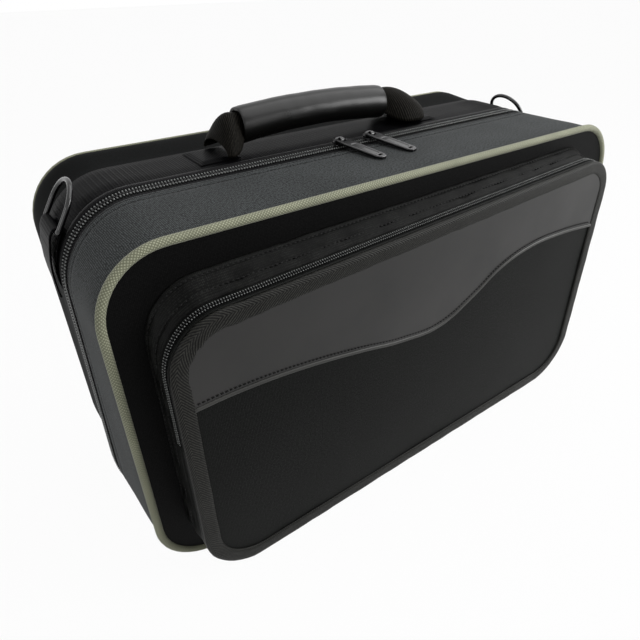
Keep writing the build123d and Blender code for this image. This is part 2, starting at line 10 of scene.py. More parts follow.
import bmesh
import bpy
import numpy as np
from math import atan2, cos, hypot, pi, radians, sin, tan
from mathutils import Matrix, Vector

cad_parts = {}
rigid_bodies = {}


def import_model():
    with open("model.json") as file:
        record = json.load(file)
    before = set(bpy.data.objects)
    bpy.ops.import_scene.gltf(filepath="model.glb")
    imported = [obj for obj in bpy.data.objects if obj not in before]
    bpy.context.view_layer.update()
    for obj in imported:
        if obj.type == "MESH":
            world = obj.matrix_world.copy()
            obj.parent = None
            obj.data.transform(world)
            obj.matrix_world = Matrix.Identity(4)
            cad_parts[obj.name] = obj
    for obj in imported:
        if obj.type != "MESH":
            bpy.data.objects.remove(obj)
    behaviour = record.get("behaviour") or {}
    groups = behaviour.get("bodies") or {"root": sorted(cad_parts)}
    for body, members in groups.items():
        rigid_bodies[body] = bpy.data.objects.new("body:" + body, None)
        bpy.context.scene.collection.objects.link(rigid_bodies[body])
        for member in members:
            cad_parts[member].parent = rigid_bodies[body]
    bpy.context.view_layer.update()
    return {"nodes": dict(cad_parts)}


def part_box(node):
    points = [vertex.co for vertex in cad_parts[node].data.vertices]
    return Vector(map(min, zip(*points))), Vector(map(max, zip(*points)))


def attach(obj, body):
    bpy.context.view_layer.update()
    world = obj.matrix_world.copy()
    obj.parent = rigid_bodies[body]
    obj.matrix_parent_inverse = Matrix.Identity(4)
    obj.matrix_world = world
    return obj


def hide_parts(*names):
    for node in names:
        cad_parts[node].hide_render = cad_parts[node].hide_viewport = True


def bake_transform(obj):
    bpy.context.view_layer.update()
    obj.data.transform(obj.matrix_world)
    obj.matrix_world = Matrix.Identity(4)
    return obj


for leftover in list(bpy.data.objects):
    bpy.data.objects.remove(leftover)
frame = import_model()
MM = 0.001
print("solids in the frame:", len(frame["nodes"]))

# %% [markdown]
# The case is dark, so the light does most of the work.  A broad lamp overhead and a second one
# from the right give the soft, long highlights that the nylon, the grip and the pulls need.
# The floor and the world are white to the camera and to reflections, and the floor still
# keeps part of the shadow.

# %% Camera at the photograph's viewpoint
CAMERA_PLACE = Vector((-0.31486, -0.38581, 0.42045))
CAMERA_FORWARD = Vector((0.48108658, 0.69305025, -0.53687713))
CAMERA_RIGHT = Vector((0.81283198, -0.58204432, -0.02299111))

camera = bpy.data.objects.new("camera", bpy.data.cameras.new("camera"))
bpy.context.scene.collection.objects.link(camera)
camera.data.lens = 29.9
camera.data.sensor_width = 36.0
camera_up = CAMERA_RIGHT.cross(CAMERA_FORWARD)
turn = Matrix((CAMERA_RIGHT, camera_up, -CAMERA_FORWARD)).transposed()
camera.matrix_world = Matrix.Translation(CAMERA_PLACE) @ turn.to_4x4()
bpy.context.scene.camera = camera
bpy.context.scene.view_settings.view_transform = "Standard"
print("camera looks from", [round(value, 3) for value in CAMERA_PLACE])


# %% Small helpers for colour and nodes
def linear(code):
    """An sRGB hex colour as the linear one that nodes read."""
    parts = [int(code[i:i + 2], 16) / 255 for i in (1, 3, 5)]
    return [p / 12.92 if p <= 0.04045 else ((p + 0.055) / 1.055) ** 2.4 for p in parts] + [1.0]


def add_node(tree, kind, inputs=None, **settings):
    """Add a node with its settings, and set or link its inputs."""
    node = tree.nodes.new("ShaderNode" + kind)
    for key, value in settings.items():
        setattr(node, key, value)
    for key, value in (inputs or {}).items():
        if isinstance(value, bpy.types.NodeSocket):
            tree.links.new(value, node.inputs[key])
        else:
            node.inputs[key].default_value = value
    return node


def maths(tree, operation, *values):
    """One step of arithmetic on sockets or numbers."""
    return add_node(tree, "Math", dict(enumerate(values)), operation=operation).outputs[0]


def noise(tree, place, size_mm, detail, **inputs):
    """Cloudy noise whose lumps have a real size."""
    return add_node(tree, "TexNoise", {"Vector": place, "Scale": 1 / (size_mm * MM),
                                       "Detail": detail, **inputs}).outputs["Fac"]


def spread(tree, value, low, high, to_low=0.0, to_high=1.0):
    """Stretch a value from one range to another, held at both ends."""
    return add_node(tree, "MapRange", {"Value": value, "From Min": low, "From Max": high,
                                       "To Min": to_low, "To Max": to_high}).outputs[0]


def mixed(tree, factor, first, second, **settings):
    """Two colours mixed by a factor."""
    return add_node(tree, "Mix", {"Factor": factor, "A": first, "B": second}, data_type="RGBA",
                    **settings).outputs["Result"]


def relief(tree, height, strength, deep_mm):
    """A normal from a height, for detail too fine to model."""
    return add_node(tree, "Bump", {"Height": height, "Strength": strength,
                                   "Distance": deep_mm * MM}).outputs[0]


print("mid grey in linear light:", round(linear("#808080")[0], 3))

# %% Lamps
CASE_MIDDLE = Vector((0, 0, 0.15))


def area_lamp(name, place, size, watts):
    """A square soft lamp that faces the middle of the case."""
    lamp = bpy.data.objects.new(name, bpy.data.lights.new(name, "AREA"))
    bpy.context.scene.collection.objects.link(lamp)
    lamp.data.size, lamp.data.energy = size, watts
    lamp.location = place
    lamp.rotation_euler = (CASE_MIDDLE - Vector(place)).to_track_quat("-Z", "Y").to_euler()


area_lamp("overhead lamp", (0.6, -0.2, 1.4), 1.5, 15)
area_lamp("right lamp", (1.2, -1.05, 0.62), 0.7, 16)
area_lamp("left lamp", (-1.25, -0.35, 0.75), 0.6, 2.6)
area_lamp("front lamp", (0.3, -1.3, 0.72), 0.3, 1.3)
print("lamps set: overhead, right, left and front")

# %% World
WORLD_LIGHT = 0.235


def seen_by(tree, *rays):
    """1 for a ray of any of these kinds, and 0 for the others."""
    path = add_node(tree, "LightPath").outputs
    seen = path[rays[0]]
    for ray in rays[1:]:
        seen = maths(tree, "MAXIMUM", seen, path[ray])
    return seen


world = bpy.data.worlds.new("pale room")
bpy.context.scene.world = world
world.use_nodes = True
tree = world.node_tree
tree.nodes.clear()
seen = seen_by(tree, "Is Camera Ray", "Is Glossy Ray", "Is Transmission Ray")
light = add_node(tree, "Background", {"Color": (1, 1, 1, 1), "Strength": WORLD_LIGHT})
white = add_node(tree, "Background", {"Color": (1, 1, 1, 1), "Strength": 1.0})
both = add_node(tree, "MixShader", {0: seen, 1: light.outputs[0], 2: white.outputs[0]})
add_node(tree, "OutputWorld", {"Surface": both.outputs[0]})
print("the world lights the case at", WORLD_LIGHT, "and shows as white")

# %% Floor
# The floor lies just under the hinge cloth, and is this clear to the camera.
FLOOR_SIZE, FLOOR_DROP, FLOOR_CLEAR = 30, 0.4, 0.965
bpy.ops.object.select_all(action="DESELECT")
bpy.ops.mesh.primitive_plane_add(size=FLOOR_SIZE, location=(0, 0, -FLOOR_DROP * MM))
floor = bpy.context.object
floor.name = "floor"
paper = bpy.data.materials.new("white backdrop paper")
paper.use_nodes = True
tree = paper.node_tree
tree.nodes.clear()
seen = maths(tree, "MULTIPLY", seen_by(tree, "Is Camera Ray", "Is Glossy Ray"), FLOOR_CLEAR)
dull = add_node(tree, "BsdfDiffuse", {"Color": linear("#d4d4d4")})
clear = add_node(tree, "BsdfTransparent")
both = add_node(tree, "MixShader", {0: seen, 1: dull.outputs[0], 2: clear.outputs[0]})
add_node(tree, "OutputMaterial", {"Surface": both.outputs[0]})
floor.data.materials.append(paper)
floor.visible_shadow = False
print("floor:", FLOOR_SIZE, "m square, white to the camera")

# %% [markdown]
# The finishes come next.  Woven ones read a UV map named weave, laid out in metres: its U runs
# along the cloth and its V across it, so a thread keeps its size round a corner.  Blender's
# wave texture repeats every 0.31416 units at scale 1, so a real spacing in millimetres gives
# the scale at once.


# %% Pattern scale and a starting material
def wave_scale(spacing_mm):
    """Wave texture scale that repeats at a real spacing."""
    return 0.31416 / (spacing_mm * MM)


def start_material(name):
    """An empty material and its tree."""
    material = bpy.data.materials.new(name)
    material.use_nodes = True
    tree = material.node_tree
    tree.nodes.clear()
    return material, tree


def finish_material(tree, **inputs):
    """Principled surface with its inputs, on the output."""
    surface = add_node(tree, "BsdfPrincipled", {key.replace("_", " "): value
                                                for key, value in inputs.items()})
    add_node(tree, "OutputMaterial", {"Surface": surface.outputs[0]})


print("one thread a millimetre is wave scale", round(wave_scale(1)))


# %% Woven nylon
def woven_nylon(name, dark, light, thread_mm, rough, sheen, specular=0.04, cloud_mm=60,
                tone_and_shade_depth=0.13):
    """Plain-woven polyester pack cloth: matt, and speckled where its threads catch the light.
    Real threads are 0.5 mm apart; they are drawn coarser here, so that they show."""
    material, tree = start_material(name)
    uv = add_node(tree, "UVMap", uv_map="weave").outputs[0]
    warp, weft = (add_node(tree, "TexWave", {"Vector": uv, "Scale": wave_scale(thread_mm),
                                             "Distortion": 0.6, "Detail": 0.0},
                           bands_direction=way).outputs["Fac"] for way in "XY")
    grid = maths(tree, "MULTIPLY", warp, weft)
    fuzz = spread(tree, noise(tree, uv, 1.5, 2.0), 0.36, 0.66)
    threads = maths(tree, "MULTIPLY", grid, fuzz)
    cloth = mixed(tree, spread(tree, threads, 0.0, 0.42), linear(dark), linear(light))
    # Cloudy tone at random, and where it is strong, as on the puckered cloth, painted light and
    # shade.
    tone_and_painted_shade = spread(tree, noise(tree, uv, cloud_mm, 2.0), 0.3, 0.7, 1 - tone_and_shade_depth, 1 + tone_and_shade_depth)
    colour = mixed(tree, 1.0, cloth, tone_and_painted_shade, blend_type="MULTIPLY")
    finish_material(tree, Base_Color=colour, Roughness=rough, Sheen_Weight=sheen,
                    Sheen_Roughness=0.45, Specular_IOR_Level=specular,
                    Normal=relief(tree, threads, 0.5, 0.25))
    return material


# Slate grey, with pale threads on a dark ground: the lid looks speckled and a little dusty.
lid_nylon = woven_nylon("woven polyester, slate grey", "#262828", "#5f6263", 1.3, 0.62, 0.02)
# The same cloth dyed nearly black: its threads hardly show.
base_nylon = woven_nylon("woven polyester, dark grey", "#060707", "#171818", 1.3, 0.6, 0.0, 0.015)
# A paler black for the back, so that its threads still show where no lamp reaches it squarely.
back_nylon = woven_nylon("woven polyester, black back", "#131414", "#2c2e2e", 1.3, 0.6, 0.0, 0.04)
# A coating fills the front's cloth: nearly plain black, and smoother to the eye.
face_nylon = woven_nylon("coated nylon, black", "#060606", "#131313", 1.1, 0.5, 0.0)
# Finer, glossier cloth of the pocket: deep black with a faint shine.
pocket_nylon = woven_nylon("woven nylon, charcoal", "#060706", "#1b1c1b", 1.2, 0.45, 0.0, 0.06)
# The same cloth drawn up by its stitches: painted light and shade in patches 14 mm wide, for
# the light and shade on its puckers.
puckered_nylon_painted_shade = woven_nylon("woven nylon, puckered, painted light and shade", "#040404", "#1b1c1a", 1.2, 0.42, 0.0, 0.06,
                           cloud_mm=14, tone_and_shade_depth=0.8)
print("woven finishes made")

# %% [markdown]
# Everything on this case follows one of two rounded outlines: the body's, whose ends lean in
# and which is fullest at the zip, and the pocket's, which is out of square.  A cloth wall
# could be a scaled tube, but then its corners would scale too.  Instead each outline is a
# plane whose corners are bevelled, kept as a wire loop, and a wall is a row of such loops that
# are bridged one after the other.

# %% The two outlines, in millimetres
LID_DEPTH, BASE_DEPTH = 89.0, 112.0
# Each row holds the value at the zip, at the front seam and at the rear seam.
BODY = {"low half": (277.5, 271.0, 265.0), "high half": (269.5, 271.0, 265.0),
        "low": (1.0, 2.265, 2.265), "high": (295.25, 291.0, 299.5), "corner": (62.5, 50.0, 52.0)}
POCKET_FACE = ((-245, 1.5), (229, 8), (229, 270), (-245, 249))
POCKET_SEAM = ((-247, 8), (231, 10), (231, 277), (-247, 265))
POCKET_ROUNDS = (50, 52, 36, 42)
FOLD_Y = -104.0
print("the case is", LID_DEPTH + BASE_DEPTH, "mm deep between its seams")


# %% Selecting and editing from a script
def only(*pieces):
    """Select these pieces alone, the first of them active."""
    bpy.ops.object.select_all(action="DESELECT")
    for piece in pieces:
        piece.select_set(True)
    bpy.context.view_layer.objects.active = pieces[0]


def edit(piece, vertices=None):
    """Open a piece in edit mode with only the vertices that pass a test selected."""
    only(piece)
    bpy.ops.object.mode_set(mode="EDIT")
    bpy.ops.mesh.select_mode(type="VERT")
    bpy.ops.mesh.select_all(action="SELECT" if vertices is None else "DESELECT")
    if vertices is not None:
        mesh = bmesh.from_edit_mesh(piece.data)
        for vertex in mesh.verts:
            vertex.select = bool(vertices(vertex))
        mesh.select_flush_mode()
        bmesh.update_edit_mesh(piece.data)


def done():
    """Leave edit mode."""
    bpy.ops.object.mode_set(mode="OBJECT")


def outward(piece):
    """Turn every face of a piece outwards."""
    edit(piece)
    bpy.ops.mesh.normals_make_consistent(inside=False)
    done()


def remove_where(piece, test):
    """Delete the vertices that pass a test."""
    edit(piece, test)
    bpy.ops.mesh.delete(type="VERT")
    done()
    return piece


print("editing helpers ready")

# %% A rounded loop of edges
BEND_CUTS = 12
LONG_CUTS, SHORT_CUTS = 45, 21


def wire_loop(corners, rounds, y):
    """Rounded loop of bare edges at depth y.  The corners run round from the low left one."""
    bpy.ops.object.select_all(action="DESELECT")
    bpy.ops.mesh.primitive_plane_add(size=1)
    loop = bpy.context.object
    places = [Vector((x, y, z)) * MM for x, z in corners]
    for index, place in zip((0, 1, 3, 2), places):
        loop.data.vertices[index].co = place
    for number, place in enumerate(places):
        before, after = places[number - 1] - place, places[(number + 1) % 4] - place
        reach = rounds[number] * MM / tan(before.angle(after) / 2)
        edit(loop, lambda vertex: (vertex.co - place).length < 1e-7)
        bpy.ops.mesh.bevel(offset=reach, segments=BEND_CUTS, affect="VERTICES")
        done()
    edit(loop)
    bpy.ops.mesh.delete(type="ONLY_FACE")
    for cuts, axis in ((LONG_CUTS, 0), (SHORT_CUTS, 2)):
        bpy.ops.mesh.select_all(action="DESELECT")
        mesh = bmesh.from_edit_mesh(loop.data)
        for edge in mesh.edges:
            span = edge.verts[0].co - edge.verts[1].co
            if abs(span[axis]) > 0.05:
                edge.select = True
        bmesh.update_edit_mesh(loop.data)
        bpy.ops.mesh.subdivide(number_cuts=cuts)
    done()
    return loop


print("each corner has", BEND_CUTS, "facets")


# %% Corners of the two outlines at any depth
def body_corners(y, inset):
    """Corners and radii of the body's outline at depth y, drawn in by inset."""
    share = abs(y) / (LID_DEPTH if y < 0 else BASE_DEPTH)
    wide, narrow, low, high, corner = (
        row[0] + (row[1 if y < 0 else 2] - row[0]) * share for row in BODY.values())
    wide, narrow, low, high = wide - inset, narrow - inset, low + inset, high - inset
    return ((-wide, low), (wide, low), (narrow, high), (-narrow, high)), [corner - inset] * 4


def pocket_corners(y, inset):
    """The same for the pocket, which narrows from its seam to its fold."""
    share = min(max((y - FOLD_Y) / (-LID_DEPTH - FOLD_Y), 0), 1)
    spots = [tuple(a + (b - a) * share for a, b in zip(face, seam))
             for face, seam in zip(POCKET_FACE, POCKET_SEAM)]
    ways = ((1, 1), (-1, 1), (-1, -1), (1, -1))
    return ([(x + way_x * inset, z + way_z * inset) for (x, z), (way_x, way_z) in zip(spots, ways)],
            [radius - inset for radius in POCKET_ROUNDS])


print("outlines:", body_corners(0, 0)[0][2], pocket_corners(FOLD_Y, 0)[0][2])


# %% [markdown]
# A pattern on cloth has to know how far along the cloth it is.  Walking round a loop and adding
# up the steps gives that distance, and a distance in metres makes a weave map of real size.
# Unwrapping in the editor would give a map too, but one without a size.

# %% Walking round a loop
def walk(loop):
    """Points of a wire loop as x and z, from the middle of the bottom up the left side."""
    mesh = bmesh.new()
    mesh.from_mesh(loop.data)
    low = min(vertex.co.z for vertex in mesh.verts)
    start = min(mesh.verts, key=lambda v: abs(v.co.x) + 10 * (v.co.z - low))
    order = [start, min((edge.other_vert(start) for edge in start.link_edges),
                        key=lambda v: v.co.x)]
    while order[-1] != start:
        ahead = [edge.other_vert(order[-1]) for edge in order[-1].link_edges]
        order.append(next(vertex for vertex in ahead if vertex != order[-2]))
    points = np.array([(vertex.co.x, vertex.co.z) for vertex in order])
    mesh.free()
    return points


class Run:
    """A walk round an outline that knows its length."""

    def __init__(self, points):
        steps = np.hypot(*np.diff(points, axis=0).T)
        self.points = points
        self.length = np.concatenate(([0], np.cumsum(steps)))
        self.total = self.length[-1]

    def place(self, distance):
        """Point at a distance in metres, and the direction outwards."""
        def at(s):
            return np.array([np.interp(s % self.total, self.length, self.points[:, k])
                             for k in (0, 1)])
        along = at(distance + 0.4 * MM) - at(distance - 0.4 * MM)
        along /= hypot(*along)
        return at(distance), np.array((-along[1], along[0]))

    def nearest(self, spots):
        """Distance along the run of each x and z."""
        fine = np.arange(0, self.total, 1.0 * MM)
        samples = np.column_stack([np.interp(fine, self.length, self.points[:, k])
                                   for k in (0, 1)])
        return np.array([fine[np.argmin(((samples - spot) ** 2).sum(axis=1))] for spot in spots])


def run_at(corners, y, inset=0.0):
    """The run along one loop."""
    loop = wire_loop(*corners(y, inset), y)
    run = Run(walk(loop))
    bpy.data.objects.remove(loop)
    return run


print("round the case at the zip:", round(run_at(body_corners, 0).total / MM), "mm")


# %% The weave map
def lay_weave(piece, along, across, around=(0.0, 0.0)):
    """Write the weave map in metres from one value along and one across for each vertex.
    Where a value starts again after going around, faces that cross that line are mended."""
    layer = piece.data.uv_layers.get("weave") or piece.data.uv_layers.new(name="weave")
    corners = np.zeros(len(piece.data.loops), int)
    piece.data.loops.foreach_get("vertex_index", corners)
    pair = [np.asarray(values, float)[corners] for values in (along, across)]
    for values, total in zip(pair, around):
        if total:
            for face in piece.data.polygons:
                part = slice(face.loop_start, face.loop_start + face.loop_total)
                if np.ptp(values[part]) > total / 2:
                    middle = values[part].mean()
                    values[part] += np.where(values[part] < middle, total, 0)
    layer.data.foreach_set("uv", np.column_stack(pair).ravel())


def flat_weave(piece):
    """The weave map of a flat panel: x along and z across."""
    spots = np.array([vertex.co for vertex in piece.data.vertices])
    lay_weave(piece, spots[:, 0], spots[:, 2])


print("weave maps are in metres")


# %% Loops bridged into a wall
def wall(name, corners, profile):
    """Cloth wall through loops at (y, inset) pairs, with its weave map.  Faces point outwards."""
    loops = [wire_loop(*corners(y, inset), y) for y, inset in profile]
    run = Run(walk(loops[0]))
    count = len(loops[0].data.vertices)
    only(*loops)
    bpy.ops.object.join()
    piece = bpy.context.object
    for number in range(len(profile) - 1):
        edit(piece, lambda v: count * number <= v.index < count * (number + 2))
        bpy.ops.mesh.bridge_edge_loops()
        done()
    outward(piece)
    facing = sum(Vector((face.normal.x, 0, face.normal.z)).dot(face.center - CASE_MIDDLE)
                 * face.area for face in piece.data.polygons)
    if facing < 0:
        edit(piece)
        bpy.ops.mesh.flip_normals()
        done()
    piece.name = piece.data.name = name
    steps = [hypot(b[0] - a[0], b[1] - a[1]) for a, b in zip(profile, profile[1:])]
    depth = np.concatenate(([0], np.cumsum(steps))) * MM
    spots = np.array([(vertex.co.x, vertex.co.z) for vertex in piece.data.vertices])
    lay_weave(piece, run.nearest(spots), depth[np.arange(len(spots)) // count], (run.total, 0))
    bpy.ops.object.shade_smooth()
    return piece


print("a wall bridges loops of", 4 * (BEND_CUTS + 1) + 2 * (LONG_CUTS + SHORT_CUTS), "points")


# %% Modifiers, dents, thickness and the finish of a piece
def apply_modifier(piece, kind, **settings):
    """Add a modifier with its settings and apply it."""
    only(piece)
    modifier = piece.modifiers.new(kind.lower(), kind)
    for key, value in settings.items():
        setattr(modifier, key, value)
    bpy.ops.object.modifier_apply(modifier=modifier.name)


def dents(piece, size_mm, depth_mm, weight=None):
    """Push a piece softly in and out with a cloud pattern, all over or by a weight in 0 to 1."""
    texture = bpy.data.textures.new(piece.name + " dents", "CLOUDS")
    texture.noise_scale = size_mm * MM
    texture.noise_depth = 1
    group = ""
    if weight is not None:
        group = piece.vertex_groups.new(name="soft").name
        for vertex in piece.data.vertices:
            piece.vertex_groups[group].add([vertex.index], weight(vertex.co / MM), "REPLACE")
    apply_modifier(piece, "DISPLACE", texture=texture, strength=depth_mm * MM, mid_level=0.5,
                   vertex_group=group, texture_coords="LOCAL")
    piece.vertex_groups.clear()


def thicken(piece, thickness_mm):
    """Give cloth its thickness, inwards."""
    apply_modifier(piece, "SOLIDIFY", thickness=thickness_mm * MM, offset=-1, use_even_offset=True)


def settle(piece, body, slot, material, *nodes):
    """Finish a piece: its material, its body and the solids that it stands for; slot is not used.
    """
    piece.data.materials.clear()
    piece.data.materials.append(material)
    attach(piece, body)
    if nodes:
        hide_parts(*nodes)
    return piece


print("finishing helpers ready")

# %% [markdown]
# The nylon covers are stretched over foam, so they are nearly flat, with a slight crown, a hem
# beside the zip and a gentle pull into the piping.  A groove marks each line of stitches.

# %% Side cloth of the lid and the base
def soft_middle(edge_a, edge_b, margin):
    """Weight that fades to nothing at both edges of a wall."""
    def weight(place):
        inside = min(abs(place.y - edge_a), abs(place.y - edge_b)) / margin
        return max(0.0, min(1.0, inside))
    return weight


# Each profile is a row of depths and insets.  The two dips beside the zip are the stitch grooves.
LID_WALL = [(-10.8, 1.3), (-10.5, 0.3), (-11.1, -0.35), (-12.4, -0.5), (-13.3, -0.1),
            (-14.2, -0.5), (-16.5, -0.5), (-18.6, -0.45), (-19.5, -0.05), (-20.4, -0.4),
            (-25, -0.4), (-32, -0.3), (-40, -0.2), (-48, -0.2), (-56, -0.3), (-64, -0.4),
            (-72, -0.3), (-79, 0.0), (-84, 0.5), (-87.2, 1.2)]
lid_side = wall("lid_side_cloth", body_corners, LID_WALL)
dents(lid_side, 70, 1.1, soft_middle(-21, -84, 14))
thicken(lid_side, 1.2)
settle(lid_side, "lid", "lid_nylon", lid_nylon, "lid_band")

BASE_WALL = [(8.3, 1.3), (8.6, 0.2), (13.5, 0.1), (20, 0.0), (40, 0.0), (60, 0.0), (66, 0.0),
             (72, -0.3), (78, -0.8), (86, -1.5), (94, -2.2), (100, -2.6), (105, -2.5),
             (108.4, -1.7), (110.3, -0.2)]
base_side = wall("base_side_cloth", body_corners, BASE_WALL)
dents(base_side, 80, 1.4, soft_middle(64, 108, 14))
thicken(base_side, 1.2)
settle(base_side, "base", "base_nylon", base_nylon, "base_band")
print("side cloths:", len(lid_side.data.polygons), len(base_side.data.polygons), "faces")

# %% [markdown]
# The piping is a cord in a bias-cut strip: the strip's threads run at 45 degrees to the cord,
# which gives its small diamond pattern.  A loop of edges becomes a curve with a round bevel,
# then a mesh, and its weave map is turned by 45 degrees in the material.

# %% Bias tape
def bias_tape(name, dark, light, thread_mm):
    """Cotton-like polyester cut on the bias, round a cord: pale, matt and slightly fuzzy, with
    small diamonds.  The threads are drawn coarser than real ones, so that they show."""
    material, tree = start_material(name)
    uv = add_node(tree, "UVMap", uv_map="weave").outputs[0]
    turned = add_node(tree, "Mapping", {"Vector": uv, "Rotation": (0, 0, pi / 4)}).outputs[0]
    warp, weft = (add_node(tree, "TexWave", {"Vector": turned, "Scale": wave_scale(thread_mm)},
                           bands_direction=way).outputs["Fac"] for way in "XY")
    grid = maths(tree, "MULTIPLY", warp, weft)
    cloth = mixed(tree, grid, linear(dark), linear(light))
    soiled = spread(tree, noise(tree, uv, 35, 4.0), 0.3, 0.7, 0.84, 1.1)
    colour = mixed(tree, 1.0, cloth, soiled, blend_type="MULTIPLY")
    finish_material(tree, Base_Color=colour, Roughness=0.75, Sheen_Weight=0.15,
                    Sheen_Roughness=0.5, Normal=relief(tree, grid, 0.8, 0.3))
    return material


# Sage cloth over a cord: the one pale line on the case, dotted with darker diamonds.
piping_cloth = bias_tape("bias-cut polyester, sage", "#6c6e58", "#b2b49b", 1.7)
print("piping cloth made")

# %% Piping round both seams
PIPING_RADIUS = 3.25


def round_cord(name, loop, radius_mm):
    """Turn a loop of edges into a round cord."""
    only(loop)
    bpy.ops.object.convert(target="CURVE")
    loop = bpy.context.object
    loop.data.bevel_depth = radius_mm * MM
    loop.data.bevel_resolution = 4
    bpy.ops.object.convert(target="MESH")
    cord = bpy.context.object
    cord.name = cord.data.name = name
    return cord


def piping(name, y, inset):
    """Round cord along the body's outline, with its weave map along and round it."""
    run = run_at(body_corners, y, inset)
    cord = round_cord(name, wire_loop(*body_corners(y, inset), y), PIPING_RADIUS)
    spots = np.array([vertex.co for vertex in cord.data.vertices])
    along = run.nearest(spots[:, [0, 2]])
    turns = []
    for spot, distance in zip(spots, along):
        centre, out = run.place(distance)
        turns.append(atan2(spot[1] - y * MM, (spot[[0, 2]] - centre) @ out) * PIPING_RADIUS * MM)
    lay_weave(cord, along, turns, (run.total, 2 * pi * PIPING_RADIUS * MM))
    outward(cord)
    bpy.ops.object.shade_smooth()
    return cord


settle(piping("front_piping", -LID_DEPTH + 1, 1), "lid", "piping_bias", piping_cloth, "lid_piping")
settle(piping("rear_piping", BASE_DEPTH - 1, 1), "base", "piping_bias", piping_cloth, "base_piping")
print("piping laid round both seams")

# %% [markdown]
# The front and back panels are flat cloth, slightly wavy.  A grid is dented, thickened, and
# then trimmed by a boolean with a block of the outline's shape, so that the inside of the
# panel keeps its even grid.

# %% Cutting a piece to an outline
def prism(corners, rounds, y_low, y_high):
    """Block with a rounded outline between two depths, as a cutter."""
    block = wire_loop(corners, rounds, y_low)
    edit(block)
    bpy.ops.mesh.edge_face_add()
    bpy.ops.mesh.extrude_region_move(
        TRANSFORM_OT_translate={"value": (0, (y_high - y_low) * MM, 0)})
    done()
    outward(block)
    return block


def trim(piece, cutter, operation="INTERSECT"):
    """Cut a piece with a cutter, which is then deleted."""
    apply_modifier(piece, "BOOLEAN", object=cutter, operation=operation, solver="EXACT")
    bpy.data.objects.remove(cutter)


print("cutting helpers ready")


# %% Flat panels
def sheet_grid(name, box, y, facing, step_mm):
    """Upright grid over an x and z box at depth y; facing -1 looks to the front."""
    x_low, x_high, z_low, z_high = (value * MM for value in box)
    wide, high = x_high - x_low, z_high - z_low
    bpy.ops.object.select_all(action="DESELECT")
    bpy.ops.mesh.primitive_grid_add(
        x_subdivisions=round(wide / MM / step_mm), y_subdivisions=round(high / MM / step_mm),
        size=1, location=(x_low + wide / 2, y * MM, z_low + high / 2),
        rotation=(-facing * pi / 2, 0, 0))
    grid = bpy.context.object
    grid.scale = (wide, high, 1)
    bpy.ops.object.transform_apply(location=True, rotation=True, scale=True)
    grid.name = grid.data.name = name
    return grid


def panel(name, corners, y, inset, facing, thickness, dent_mm, step_mm=9):
    """Soft flat panel inside an outline."""
    outline, rounds = corners(y, inset)
    low = [min(spot[k] for spot in outline) - 5 for k in (0, 1)]
    high = [max(spot[k] for spot in outline) + 5 for k in (0, 1)]
    cloth = sheet_grid(name, (low[0], high[0], low[1], high[1]), y, facing, step_mm)
    dents(cloth, 90, dent_mm)
    thicken(cloth, thickness)
    flat_weave(cloth)
    trim(cloth, prism(outline, rounds, y - 12, y + 12))
    only(cloth)
    bpy.ops.object.shade_smooth_by_angle(angle=radians(40))
    return cloth


settle(panel("lid_front_cloth", body_corners, -LID_DEPTH + 0.2, 0.8, -1, 1.4, 0.5),
       "lid", "face_nylon", face_nylon, "lid_face_panel")
settle(panel("base_back_cloth", body_corners, BASE_DEPTH - 0.5, 0.8, 1, 1.4, 0.9),
       "base", "base_nylon", back_nylon, "base_back_panel")
print("panels trimmed")

# %% [markdown]
# The main zip is a chunky coil zip.  Its tape sits a little lower than the cloth, and each row
# of the chain is a tooth copied about 450 times, so the tooth is small: a bar with a round
# outer end, where the coil turns and catches the light, and which is painted pale grey as a
# painted glint.  The rows are offset by half a pitch, as they are when they are closed.

# %% Smooth dark finishes
def dark_plastic(name, colour, rough, specular=0.5, coat=0.0):
    """Nylon thread, moulded plastic or paint: an even dark colour with a smudged gloss."""
    material, tree = start_material(name)
    place = add_node(tree, "TexCoord").outputs["Object"]
    gloss = spread(tree, noise(tree, place, 9, 4.0), 0.3, 0.7, rough * 0.8, rough * 1.25)
    finish_material(tree, Base_Color=linear(colour), Roughness=gloss, Coat_Weight=coat,
                    Specular_IOR_Level=specular)
    return material


def ribbed_tape(name, dark, light, rib_mm, slant, rough, specular=0.05, middle_mm=None):
    """Woven tape: dull, with paler ribs at a slant that turn into a herringbone where there is
    a middle line.  The ribs are drawn coarser than real ones, so that they show."""
    material, tree = start_material(name)
    uv = add_node(tree, "UVMap", uv_map="weave").outputs[0]
    parts = add_node(tree, "SeparateXYZ", {0: uv})
    across = parts.outputs[1]
    if middle_mm is not None:
        across = maths(tree, "ABSOLUTE", maths(tree, "SUBTRACT", across, middle_mm * MM))
    shift = maths(tree, "MULTIPLY_ADD", across, slant, parts.outputs[0])
    line = add_node(tree, "CombineXYZ", {0: shift}).outputs[0]
    rib = add_node(tree, "TexWave", {"Vector": line, "Scale": wave_scale(rib_mm),
                                     "Distortion": 0.8, "Detail": 2.0, "Detail Scale": 3.0},
                   bands_direction="X").outputs["Fac"]
    height = maths(tree, "MULTIPLY", rib, noise(tree, uv, 1.5, 3.0))
    colour = mixed(tree, spread(tree, height, 0.1, 0.6), linear(dark), linear(light))
    finish_material(tree, Base_Color=colour, Roughness=rough, Specular_IOR_Level=specular,
                    Normal=relief(tree, height, 0.7, 0.4))
    return material


# Extruded nylon thread: black, with a soft gleam on each turn.
coil_plastic = dark_plastic("nylon monofilament, black", "#0a0a0b", 0.3, 0.35)
# The same thread, painted pale grey on the outer ends as a painted glint: they shine like grey
# beads.
crown_plastic_painted_glint = dark_plastic("nylon monofilament, painted glint", "#686b69", 0.25, 0.6, 0.2)
# Zip tape: a dull herringbone so dark that only its slanting ribs show.
zip_cloth = ribbed_tape("woven zip tape, black", "#070708", "#19191a", 1.6, 1.0, 0.55, middle_mm=5)
